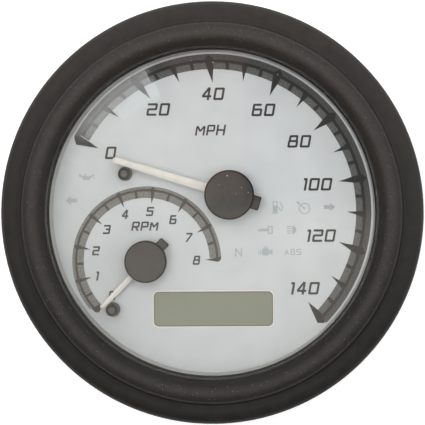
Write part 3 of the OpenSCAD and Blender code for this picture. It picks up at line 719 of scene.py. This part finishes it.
# the pale tell-tale symbols of a motorcycle: oil, indicators, fuel, cruise, key, main beam, neutral, engine, ABS
def frame_of(x0, y0, x1, y1, t):
    return [[(x0, y0), (x1, y0), (x1, y0 + t), (x0, y0 + t)], [(x0, y1 - t), (x1, y1 - t), (x1, y1), (x0, y1)],
            [(x0, y0), (x0 + t, y0), (x0 + t, y1), (x0, y1)], [(x1 - t, y0), (x1, y0), (x1, y1), (x1 - t, y1)]]


def arrow(x_tail, x_neck, x_tip, y, shaft, head):
    return [(x_tail, y + shaft), (x_neck, y + shaft), (x_neck, y + head), (x_tip, y), (x_neck, y - head), (x_neck, y - shaft), (x_tail, y - shaft)]


sym = []
# oil can with its drop
sym.append([(-40.75, 11.35), (-40.35, 10.25), (-38.35, 10.25), (-37.75, 11.1), (-36.75, 11.72), (-36.8, 11.95), (-37.9, 11.62), (-38.7, 11.35), (-39.3, 11.6), (-40.5, 11.6)])
sym += stroke([(-40.5, 11.2), (-41.45, 11.35), (-41.5, 11.95), (-40.7, 11.6)], 0.34)
sym += stroke([(-39.75, 11.4), (-39.75, 12.0)], 0.3) + stroke([(-40.2, 12.02), (-39.3, 12.02)], 0.22)
sym.append(disc((-36.95, 10.85), 0.26))
# indicators
sym.append(arrow(-42.2, -44.2, -45.9, 3.9, 0.62, 1.46))
sym.append(arrow(34.43, 36.34, 37.98, 1.42, 0.58, 1.3))
# fuel pump
sym += frame_of(18.55, -0.1, 20.05, 3.3, 0.3)
sym.append([(18.55, -0.1), (20.05, -0.1), (20.05, 1.9), (18.55, 1.9)])
sym.append([(18.25, -0.55), (20.35, -0.55), (20.35, -0.2), (18.25, -0.2)])
sym += stroke([(20.0, 1.3), (20.6, 1.3), (20.75, 0.55), (21.3, 0.45), (21.5, 1.0), (21.5, 1.75), (20.75, 2.95)], 0.3)
# cruise control
sym += stroke([pol((28.4, 1.0), 1.62, a) for a in range(0, 360, 15)], 0.3, True, False)
sym += [disc(pol((28.4, 1.0), 1.62, a), 0.15, 8) for a in range(0, 360, 15)]
sym += stroke([(28.4, 1.0), (27.3, 2.0)], 0.3) + [disc((28.4, 1.0), 0.3)]
sym += stroke([(26.1, 3.1), (26.9, 2.4)], 0.62)
# key
sym.append([(13.65, -6.05), (14.2, -5.45), (14.9, -5.12), (17.1, -5.12), (17.1, -6.02)])
sym += frame_of(16.95, -6.86, 18.55, -4.33, 0.42)
# main beam
sym.append([(24.55, -6.85)] + [pol((24.6, -5.6), 1.26, a) if True else None for a in range(-85, 90, 12)] + [(24.55, -4.35)])
for y in (-4.58, -5.26, -5.94, -6.62):
    sym += stroke([(22.88, y), (24.3, y)], 0.3)
# engine
sym.append([(15.3, -11.5), (15.75, -11.05), (16.75, -11.05), (17.1, -11.45), (17.55, -11.45), (17.55, -11.95), (17.95, -11.95), (18.1, -11.45), (18.42, -11.55),
            (18.42, -13.35), (18.1, -13.4), (17.95, -12.95), (17.5, -12.95), (17.05, -13.62), (15.35, -13.45), (15.05, -13.0), (15.05, -11.85)])
sym += stroke([(15.75, -10.85), (16.75, -10.85)], 0.2) + stroke([(14.62, -11.8), (14.62, -13.25)], 0.26) + stroke([(14.62, -12.5), (15.2, -12.5)], 0.24)
sym += stroke([(14.13, -11.5), (14.13, -13.45)], 0.2)
prism("print_telltale_symbols", sym, 29.985, 30.02, "icon")
polys = word("N", (7.85, -12.5), 2.83, 2.2, 0.42, 0.4, 0, {}, 0.0) + word("ABS", (24.69, -12.48), 1.92, 1.5, 0.31, 0.36, 0, {}, 0.12)
prism("print_telltale_letters", polys, 29.985, 30.02, "icon")


# ---------------------------------------------------------------- pointers
def place(data, pivot, angle):
    v, f = data
    c, s = math.cos(math.radians(angle)), math.sin(math.radians(angle))
    return [(pivot[0] + x * c - y * s, pivot[1] + x * s + y * c, z) for x, y, z in v], f


def blade(x0, length, w_root, w_end, z0, z_side, z_ridge, tip_r):
    """Tapered blade with a soft ridge and a rounded end, along +X."""
    stations = []
    for i in range(25):
        x = x0 + (length - tip_r - x0) * i / 24
        t = (x - x0) / (length - tip_r - x0)
        stations.append((x, (w_root + (w_end - w_root) * t) / 2, 1.0))
    for i in range(1, 9):
        q = math.pi / 2 * i / 8
        stations.append((length - tip_r + tip_r * math.sin(q), max(0.02, w_end / 2 * math.cos(q)), max(0.12, math.cos(q) ** 0.6)))
    verts, faces = [], []
    for x, w, k in stations:
        side = z0 + (z_side - z0) * (0.45 + 0.55 * k)
        ridge = side + (z_ridge - z_side) * k
        e = min(0.12, w * 0.3)
        verts += [(x, -w, z0 + 0.08), (x, -w, side - 0.06), (x, -w + e, side + 0.02), (x, -w * 0.12, ridge - 0.01), (x, w * 0.12, ridge - 0.01),
                  (x, w - e, side + 0.02), (x, w, side - 0.06), (x, w, z0 + 0.08), (x, w - e, z0), (x, -w + e, z0)]
    m = 10
    for i in range(len(stations) - 1):
        for k in range(m):
            a, b = i * m + k, i * m + (k + 1) % m
            faces.append([a, b, b + m, a + m])
    faces.append(list(range(m))[::-1])
    faces.append([(len(stations) - 1) * m + k for k in range(m)])
    return verts, faces


def hub_ring(r, z, top, bore=0.78):
    return lathe_mesh(fillet([(bore, z), (r, z), (r, top), (bore, top)], [0.05, 0.15, 0.2, 0.05], 2), 96)


def needle_piece(name, pivot, angle, r_hub, z, length, w_root, w_end, tip, body, node):
    hub = hub_ring(r_hub - 0.06, z, z + 2.4)
    bl = blade(r_hub - 1.2, length, w_root, w_end, z + 0.5, z + 1.62, z + 2.1, tip)
    join(name, [(place(hub, pivot, angle), 0), (place(bl, pivot, angle), 0)], ["needle"], body, (node,), smooth=40)


needle_piece("speed_needle_moulding", SPEED, SPEED_REST, 6.7, 32.6, 37.85, 2.7, 1.9, 1.2, "speed_pointer", "speed_needle")
needle_piece("tach_needle_moulding", TACH, TACH_REST, 5.6, 31.6, 20.2, 1.7, 1.5, 0.7, "tach_pointer", "tach_needle")


def bevel_box(x0, x1, y0, y1, z0, z1, r, b):
    """Box with rounded upright corners and a bevelled top and bottom."""
    ring = fillet([(x1, y0), (x1, y1), (x0, y1), (x0, y0)], r, 5)
    cx, cy = (x0 + x1) / 2, (y0 + y1) / 2
    n = len(ring)
    verts, faces = [], []
    hx, hy = (x1 - x0) / 2, (y1 - y0) / 2
    levels = [(z0, b), (z0 + b * 0.5, b * 0.3), (z0 + b, 0)] + [(z1 - b, 0), (z1 - b * 0.6, b * 0.12), (z1 - b * 0.25, b * 0.45), (z1, b)]
    for z, inset in levels:
        for x, y in ring:
            verts.append((cx + (x - cx) * (hx - inset) / hx, cy + (y - cy) * (hy - inset) / hy, z))
    for k in range(len(levels) - 1):
        for i in range(n):
            j = (i + 1) % n
            faces.append([k * n + i, k * n + j, (k + 1) * n + j, (k + 1) * n + i])
    faces.append(list(range(n))[::-1])
    faces.append([(len(levels) - 1) * n + i for i in range(n)])
    return verts, faces


def cap_piece(name, pivot, angle, r, r_hub, slot_w, tail, tail_w, z, shaft_top, body, node):
    """Turned cap with a shaft socket, a slot for the blade and a short tail."""
    prof = fillet([(0, z + 5), (r, z + 5), (r, z), (r_hub, z), (r_hub, z + 2.4), (0.78, z + 2.4), (0.78, shaft_top), (0, shaft_top)],
                  [0, 0.55, 0.12, 0.1, 0.1, 0.05, 0.05, 0], 5)
    v, f = place(lathe_mesh(prof, 160), pivot, angle)
    cap = obj_from(name, v, f, ["cap", "cap_side"], None)
    v, f = place(bevel_box(-tail, -(r - 2), -tail_w / 2, tail_w / 2, z + 0.4, z + 3.4, 0.35, 0.22), pivot, angle)
    boolean(cap, obj_from("tail", v, f, ["cap", "cap_side"], None), "UNION")
    v, f = place(bevel_box(r_hub - 1.5, r + 2, -slot_w / 2, slot_w / 2, z - 1, z + 2.4, 0.1, 0.1), pivot, angle)
    boolean(cap, obj_from("slot", v, f, ["cap", "cap_side"], None), "DIFFERENCE")
    me = cap.data
    while len(me.materials) > 2:
        me.materials.pop(index=len(me.materials) - 1)
    for p in me.polygons:
        c = p.center
        up = p.normal.z > 0.985 and c.z > (z + 3.2) * MM
        p.material_index = 0 if up else 1
    me.shade_smooth()
    me.set_sharp_from_angle(angle=math.radians(38))
    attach(cap, body)
    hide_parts(node)
    return cap


cap_piece("speed_pointer_cap", SPEED, SPEED_REST, 7.65, 6.7, 2.8, 9.85, 4.3, 32.6, 36.4, "speed_pointer", "speed_needle_cap")
cap_piece("tach_pointer_cap", TACH, TACH_REST, 6.5, 5.6, 1.9, 8.7, 3.3, 31.6, 35.4, "tach_pointer", "tach_needle_cap")


def centre_of(node):
    a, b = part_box(node)
    return ((a.x + b.x) / 2 / MM, (a.y + b.y) / 2 / MM)


def pin_piece(name, node):
    c = centre_of(node)
    prof = fillet([(0, 27.6), (1, 27.6), (1, 30), (2.25, 30), (2.2, 30.6), (1.93, 34.9), (1.8, 35.9), (1.45, 36.38), (1.0, 36.44), (0.92, 36.5), (0, 36.5)],
                  [0, 0.1, 0, 0.1, 0.3, 0.4, 0.35, 0.25, 0.05, 0.04, 0], 4)
    v, f = lathe_mesh(prof, 72, c)
    # the flat top faces take the painted-light top material
    which = [1 if min(v[i][2] for i in q) > 36.445 else 0 for q in f]
    obj_from(name, v, f, ["pin", "pin_top"], "case", (node,), face_mat=which)


pin_piece("speed_stop_post", "speed_stop_pin")
pin_piece("tach_stop_post", "tach_stop_pin")

# ---------------------------------------------------------------- display: gold-brown rim of painted shade on the glass, and a pale ring of painted highlight on the window edge
LX, LY = centre_of("lcd_frame")


def rrect(w, h, r, steps=6):
    return [(LX + x, LY + y) for x, y in fillet([(w / 2, -h / 2), (w / 2, h / 2), (-w / 2, h / 2), (-w / 2, -h / 2)], r, steps)]


def rim(name, w0, h0, r0, w1, h1, r1, z0, z1, mat):
    a, b = rrect(w0, h0, r0), rrect(w1, h1, r1)
    n = len(a)
    prism(name, [[a[i], a[(i + 1) % n], b[(i + 1) % n], b[i]] for i in range(n)], z0, z1, mat)


LX, LY = LX - 0.08, LY + 0.1
# painted shade: a gold-brown ring round the display, for the shaded inner wall of the window
rim("display_rim_painted_shade", 37.14, 10.86, 1.6, 36.4, 10.12, 1.3, 29.985, 30.04, "lcd_rim")
# painted highlight: a pale ring just outside, for the lit cut edge of the window
rim("display_window_edge_highlight", 37.68, 11.4, 1.85, 37.14, 10.86, 1.6, 29.985, 30.03, "edge")
LX, LY = LX + 0.08, LY - 0.1
prism("display_front_sheet", [rrect(36.86, 10.56, 1.38)], 29.205, 29.94, "lcd")

# ---------------------------------------------------------------- dust that has settled on the lens
verts, faces = [], []


def speck(x, y, z, r, tall=0.35):
    k = len(verts)
    n, rows = 7, 3
    turn = random.random() * 6.28
    sq = 0.6 + 0.4 * random.random()
    verts.append((x, y, z - r * tall * 0.6))
    for i in range(1, rows):
        t = math.pi * i / rows
        for j in range(n):
            q = 2 * math.pi * j / n
            dx, dy = r * math.sin(t) * math.cos(q), r * sq * math.sin(t) * math.sin(q)
            verts.append((x + dx * math.cos(turn) - dy * math.sin(turn), y + dx * math.sin(turn) + dy * math.cos(turn), z - r * tall * math.cos(t) * 0.6))
    verts.append((x, y, z + r * tall * 0.6))
    for j in range(n):
        j2 = (j + 1) % n
        faces.append([k, k + 1 + j2, k + 1 + j])
        faces.append([k + 1 + j, k + 1 + j2, k + 1 + n + j2, k + 1 + n + j])
        faces.append([k + 1 + n + j, k + 1 + n + j2, k + 1 + 2 * n])


def lens_z(x, y):
    return 43.05 + 1.0 * (1 - (x * x + y * y) / 2500.0)


for x, y, r in ((4.9, 11.4, 0.16), (9.2, 7.8, 0.11), (2.3, 8.6, 0.08), (11.3, 6.2, 0.1), (17.6, 29.2, 0.17), (0.7, 46.2, 0.15), (27.7, 18.9, 0.09), (41.0, -6.1, 0.14), (20.5, 42.3, 0.1),
                (-13.8, -40.2, 0.08), (-33.1, -29.5, 0.12), (-20.3, -13.8, 0.08), (-17.0, -16.6, 0.08), (13.1, -34.9, 0.1), (33.4, 1.5, 0.08), (37.2, -33.5, 0.12), (9.0, -38.8, 0.1)):
    speck(x, y, lens_z(x, y) + 0.01, r * 1.25)
for i in range(26):
    q, rr = random.random() * 6.283, 48 * math.sqrt(random.random())
    x, y = rr * math.cos(q), rr * math.sin(q)
    speck(x, y, lens_z(x, y) + 0.008, 0.045 + 0.04 * random.random())
obj_from("dust_on_lens", verts, faces, "dust", "case", smooth=80)

# ---------------------------------------------------------------- what the CAD parts are made of
use = {"lens_seal": "seal", "dial_plate": "dial", "light_guide": "guide", "light_tray": "tray", "lcd_frame": "frame_cream", "lcd_glass": "lcd",
       "lcd_diffuser": "diffuser", "lcd_contact_strips": "strip", "circuit_board": "board", "telltale_leds": "led", "backlight_leds": "led",
       "processor_chip": "chip", "driver_chips": "chip", "capacitors": "can", "oscillator": "can", "connector_terminals": "tinned",
       "board_screws": "zinc", "rear_housing": "housing", "housing_seal": "seal", "vent_membrane": "membrane", "mounting_inserts": "brass", "blank_label": "label"}
for p in ("speed", "tach"):
    use.update({p + "_output_shaft": "steel", p + "_output_wheel": "acetal", p + "_idler_gear": "acetal", p + "_rotor": "ferrite", p + "_motor_cover": "motor",
                p + "_motor_base": "motor", p + "_motor_axles": "steel", p + "_motor_stator": "stator", p + "_motor_coils": "copper", p + "_motor_pins": "tinned"})
stand_in = {"mounting_gasket": "gasket", "bezel_ring": "bezel", "lens": "lens", "trim_ring": "trim", "speed_stop_pin": "pin", "tach_stop_pin": "pin",
            "speed_needle": "needle", "tach_needle": "needle", "speed_needle_cap": "cap", "tach_needle_cap": "cap"}
use.update(stand_in)


def smooth_group():
    """Geometry nodes: merges split corners and smooths every edge flatter than 32 degrees."""
    g = bpy.data.node_groups.new("smooth_flat_edges", "GeometryNodeTree")
    g.interface.new_socket("Geometry", in_out="INPUT", socket_type="NodeSocketGeometry")
    g.interface.new_socket("Geometry", in_out="OUTPUT", socket_type="NodeSocketGeometry")
    i, o = g.nodes.new("NodeGroupInput"), g.nodes.new("NodeGroupOutput")
    m = g.nodes.new("GeometryNodeMergeByDistance")
    m.inputs["Distance"].default_value = 0.000001
    sf = g.nodes.new("GeometryNodeSetShadeSmooth")
    sf.domain = "FACE"
    sf.inputs["Shade Smooth"].default_value = True
    ang = g.nodes.new("GeometryNodeInputMeshEdgeAngle")
    cmp_ = g.nodes.new("FunctionNodeCompare")
    cmp_.data_type = "FLOAT"
    cmp_.operation = "GREATER_THAN"
    cmp_.inputs[1].default_value = math.radians(32)
    se = g.nodes.new("GeometryNodeSetShadeSmooth")
    se.domain = "EDGE"
    se.inputs["Shade Smooth"].default_value = False
    g.links.new(i.outputs[0], m.inputs[0])
    g.links.new(m.outputs[0], sf.inputs[0])
    g.links.new(sf.outputs[0], se.inputs[0])
    g.links.new(ang.outputs["Unsigned Angle"], cmp_.inputs[0])
    g.links.new(cmp_.outputs[0], se.inputs["Selection"])
    g.links.new(se.outputs[0], o.inputs[0])
    return g


SMOOTH = smooth_group()
BEVEL = {"rear_housing": 0.25, "light_tray": 0.15, "lcd_frame": 0.1, "processor_chip": 0.12, "driver_chips": 0.12, "telltale_leds": 0.08, "backlight_leds": 0.08,
         "speed_motor_cover": 0.2, "tach_motor_cover": 0.2, "speed_motor_base": 0.2, "tach_motor_base": 0.2, "capacitors": 0.25, "oscillator": 0.2,
         "board_screws": 0.1, "lcd_glass": 0.08, "connector_terminals": 0.06, "speed_motor_coils": 0.3, "tach_motor_coils": 0.3, "mounting_inserts": 0.1}
for name, o in nodes.items():
    o.data.materials.clear()
    o.data.materials.append(MAT[use[name]].m)
    for p in o.data.polygons:
        p.material_index = 0
    w = o.modifiers.new("weld", "WELD")
    w.merge_threshold = 0.000001
    if name in BEVEL:
        d = o.modifiers.new("flat", "DECIMATE")
        d.decimate_type = "DISSOLVE"
        d.angle_limit = math.radians(0.5)
        b = o.modifiers.new("edges", "BEVEL")
        b.width = BEVEL[name] * MM
        b.segments = 2
        b.limit_method = "ANGLE"
        b.angle_limit = math.radians(40)
        b.use_clamp_overlap = True
    g = o.modifiers.new("smooth", "NODES")
    g.node_group = SMOOTH

# ---------------------------------------------------------------- studio: floor, world, lights, camera
scene = bpy.context.scene
scene.view_settings.view_transform = "Standard"
scene.view_settings.look = "None"


def stage_material(name, build):
    m = bpy.data.materials.new(name)
    m.use_nodes = True
    m.node_tree.nodes.clear()
    build(m.node_tree)
    return m


def floor_nodes(nt):
    out = nt.nodes.new("ShaderNodeOutputMaterial")
    mix = nt.nodes.new("ShaderNodeMixShader")
    geo = nt.nodes.new("ShaderNodeNewGeometry")
    clear = nt.nodes.new("ShaderNodeBsdfTransparent")
    addn = nt.nodes.new("ShaderNodeAddShader")
    diff = nt.nodes.new("ShaderNodeBsdfDiffuse")
    diff.inputs["Color"].default_value = (0.88, 0.88, 0.88, 1)
    em = nt.nodes.new("ShaderNodeEmission")
    em.inputs["Color"].default_value = (1, 1, 1, 1)
    em.inputs["Strength"].default_value = 0.5
    nt.links.new(diff.outputs[0], addn.inputs[0])
    nt.links.new(em.outputs[0], addn.inputs[1])
    nt.links.new(geo.outputs["Backfacing"], mix.inputs[0])
    nt.links.new(addn.outputs[0], mix.inputs[1])
    nt.links.new(clear.outputs[0], mix.inputs[2])
    nt.links.new(mix.outputs[0], out.inputs[0])


def mirror_only(nt, em, inside_lens=False):
    """Shows the emission to mirror rays only; light that has left a dull surface passes through.
    With inside_lens it shows only in what lies under the lens, not in the lens itself."""
    out = nt.nodes.new("ShaderNodeOutputMaterial")
    lp = nt.nodes.new("ShaderNodeLightPath")
    over = nt.nodes.new("ShaderNodeMath")
    over.operation = "GREATER_THAN"
    over.inputs[1].default_value = 0.5
    clear = nt.nodes.new("ShaderNodeBsdfTransparent")
    mix = nt.nodes.new("ShaderNodeMixShader")
    nt.links.new(lp.outputs["Diffuse Depth"], over.inputs[0])
    hide = over.outputs[0]
    if inside_lens:
        few = nt.nodes.new("ShaderNodeMath")
        few.operation = "LESS_THAN"
        few.inputs[1].default_value = 3.5
        nt.links.new(lp.outputs["Transmission Depth"], few.inputs[0])
        either = nt.nodes.new("ShaderNodeMath")
        either.operation = "MAXIMUM"
        nt.links.new(over.outputs[0], either.inputs[0])
        nt.links.new(few.outputs[0], either.inputs[1])
        hide = either.outputs[0]
    nt.links.new(hide, mix.inputs[0])
    nt.links.new(em.outputs[0], mix.inputs[1])
    nt.links.new(clear.outputs[0], mix.inputs[2])
    nt.links.new(mix.outputs[0], out.inputs[0])


def glow(name, colour, strength, inside_lens=False):
    def build(nt):
        em = nt.nodes.new("ShaderNodeEmission")
        em.inputs["Color"].default_value = tuple(colour) + (1,)
        em.inputs["Strength"].default_value = strength
        mirror_only(nt, em, inside_lens)
    return stage_material(name, build)


def stage_poly(name, pts, z, mat, reflect_only=True):
    """Flat stage polygon at height z, points in millimetres."""
    me = bpy.data.meshes.new(name)
    me.from_pydata([(x * MM, y * MM, z * MM) for x, y in pts], [], [list(range(len(pts)))])
    me.materials.append(mat)
    o = bpy.data.objects.new(name, me)
    scene.collection.objects.link(o)
    if reflect_only:
        o.visible_camera = False
        o.visible_diffuse = False
        o.visible_shadow = False
        o.visible_volume_scatter = False
    return o


stage_poly("studio_floor", [(-1500, -1500), (1500, -1500), (1500, 1500), (-1500, 1500)], -0.02, stage_material("floor_white", floor_nodes), False)

world = bpy.data.worlds.new("studio")
scene.world = world
world.use_nodes = True
wt = world.node_tree
bg = wt.nodes.get("Background") or wt.nodes.new("ShaderNodeBackground")
bg.inputs["Color"].default_value = (0.95, 0.97, 1.0, 1)
sky = wt.nodes.new("ShaderNodeSeparateXYZ")
wt.links.new(wt.nodes.new("ShaderNodeTexCoord").outputs["Generated"], sky.inputs[0])
ramp = wt.nodes.new("ShaderNodeMapRange")
ramp.inputs["From Min"].default_value = -1.0
ramp.inputs["From Max"].default_value = 1.0
ramp.inputs["To Min"].default_value = 0.1
ramp.inputs["To Max"].default_value = 1.0
wt.links.new(sky.outputs["Y"], ramp.inputs["Value"])
wt.links.new(ramp.outputs["Result"], bg.inputs["Strength"])

# reflection cards: what the clear lens mirrors towards the camera. A point (x, y) of the lens mirrors (4.07 x - 40.3, 4.07 y - 20.7)
# of a card at this height.
CARD_Z = 1200.0


def on_card(x, y):
    return (4.07 * x - 40.3, 4.07 * y - 20.7)


def room_nodes(nt):
    """Dark room with a warm wall low and to the left, and a faint brown shape above the middle."""
    def node(kind, **sets):
        n = nt.nodes.new(kind)
        for k, v in sets.items():
            setattr(n, k, v)
        return n

    def math_(op, a, b=0.0, clamp=False):
        n = node("ShaderNodeMath", operation=op, use_clamp=clamp)
        for k, v in enumerate((a, b)):
            if isinstance(v, (int, float)):
                n.inputs[k].default_value = v
            else:
                nt.links.new(v, n.inputs[k])
        return n.outputs[0]

    sep = node("ShaderNodeSeparateXYZ")
    nt.links.new(node("ShaderNodeTexCoord").outputs["Object"], sep.inputs[0])
    x = math_("DIVIDE", math_("ADD", math_("MULTIPLY", sep.outputs[0], 1000.0), 40.3), 4.07)
    y = math_("DIVIDE", math_("ADD", math_("MULTIPLY", sep.outputs[1], 1000.0), 20.7), 4.07)
    low = math_("DIVIDE", math_("SUBTRACT", 6.0, y), 12.3, True)
    line = math_("SUBTRACT", math_("SUBTRACT", 9.8, math_("DIVIDE", y, 1.68)), x)
    left = math_("DIVIDE", math_("SUBTRACT", line, 1.5), 16.0, True)
    wall = math_("MAXIMUM", low, left)
    brown = math_("MULTIPLY", math_("MULTIPLY", math_("DIVIDE", math_("SUBTRACT", 11.0, x), 1.5, True), math_("DIVIDE", math_("ADD", x, 13.2), 1.6, True)),
                  math_("DIVIDE", math_("SUBTRACT", y, 3.5), 3.0, True))
    mix1 = node("ShaderNodeMix", data_type="RGBA", blend_type="MIX")
    mix1.inputs[6].default_value = (0.0, 0.0, 0.0, 1)
    mix1.inputs[7].default_value = (0.29, 0.16, 0.12, 1)
    nt.links.new(brown, mix1.inputs[0])
    mix2 = node("ShaderNodeMix", data_type="RGBA", blend_type="MIX")
    mix2.inputs[7].default_value = (0.64, 0.57, 0.48, 1)
    nt.links.new(mix1.outputs[2], mix2.inputs[6])
    nt.links.new(wall, mix2.inputs[0])
    em = node("ShaderNodeEmission")
    nt.links.new(mix2.outputs[2], em.inputs["Color"])
    em.inputs["Strength"].default_value = 1.0
    mirror_only(nt, em)


stage_poly("card_room", [(-900, -900), (900, -900), (900, 900), (-900, 900)], CARD_Z, stage_material("card_room", room_nodes))


def under_card(x, y):
    """The flat print below the lens mirrors this point of a card 8 mm lower."""
    return (2.209 * x - 40.34, 2.209 * y - 20.17)


def card_arc(name, r0, r1, a0, a1, z, mat, on_card=on_card):
    pts = [on_card(r1 * math.cos(math.radians(a0 + (a1 - a0) * i / 24)), r1 * math.sin(math.radians(a0 + (a1 - a0) * i / 24))) for i in range(25)]
    pts += [on_card(r0 * math.cos(math.radians(a1 + (a0 - a1) * i / 24)), r0 * math.sin(math.radians(a1 + (a0 - a1) * i / 24))) for i in range(25)]
    return stage_poly(name, pts, z, mat)


card_arc("card_window", 45.1, 54.0, 114.8, 144.0, CARD_Z - 4, glow("card_window", (1.0, 1.0, 1.0), 1.4))
card_arc("card_window_end", 45.1, 54.0, 144.2, 151.0, CARD_Z - 4, glow("card_window_end", (1.0, 0.97, 0.93), 1.1))
card_arc("card_window_low", 43.5, 53.0, 151.2, 160.0, CARD_Z - 4, glow("card_window_low", (1.0, 0.95, 0.88), 0.8))
card_arc("card_window_inner", 39.5, 45.0, 113.5, 133.0, CARD_Z - 4, glow("card_window_inner", (1.0, 1.0, 1.0), 1.0))
card_arc("card_print_band", 43.3, 56.0, 114.8, 150.0, CARD_Z - 8, glow("card_print_band", (1.0, 1.0, 1.0), 3.0, True), under_card)
card_arc("card_print_spear", 39.0, 43.25, 113.0, 126.0, CARD_Z - 8, glow("card_print_spear", (1.0, 1.0, 1.0), 8.0, True), under_card)


def area_light(name, at, to, size, watts, colour=(1, 1, 1), spread=None, size_y=None):
    ld = bpy.data.lights.new(name, "AREA")
    ld.shape = "RECTANGLE" if size_y else "SQUARE"
    ld.size = size
    if size_y:
        ld.size_y = size_y
    ld.energy = watts
    ld.color = colour
    if spread:
        ld.spread = math.radians(spread)
    o = bpy.data.objects.new(name, ld)
    scene.collection.objects.link(o)
    o.location = at
    o.rotation_mode = "QUATERNION"
    o.rotation_quaternion = (Vector(to) - Vector(at)).to_track_quat("-Z", "Y")
    o.visible_camera = False
    return o


area_light("key_softbox", (-0.12, 0.16, 1.45), (0, 0, 0.03), 1.1, 13.0, (1.0, 0.99, 0.97))
area_light("fill_softbox", (0.9, 0.1, 0.8), (0, 0, 0.03), 0.9, 2.0, (0.95, 0.97, 1.0))

cam_data = bpy.data.cameras.new("camera")
cam_data.sensor_width = 36.0
cam_data.lens = 261.83
cam_data.clip_start, cam_data.clip_end = 0.05, 20.0
cam = bpy.data.objects.new("camera", cam_data)
scene.collection.objects.link(cam)
scene.camera = cam
eye, aim, roll = Vector((0.033367, 0.016687, 0.9911)), Vector((0.000192, 0.000105, 0.0411)), math.radians(0.37)
fwd = (aim - eye).normalized()
right = fwd.cross(Vector((0, 1, 0))).normalized()
up = right.cross(fwd)
r2 = right * math.cos(roll) - up * math.sin(roll)
u2 = right * math.sin(roll) + up * math.cos(roll)
cam.matrix_world = Matrix(((r2.x, u2.x, -fwd.x, eye.x), (r2.y, u2.y, -fwd.y, eye.y), (r2.z, u2.z, -fwd.z, eye.z), (0, 0, 0, 1)))
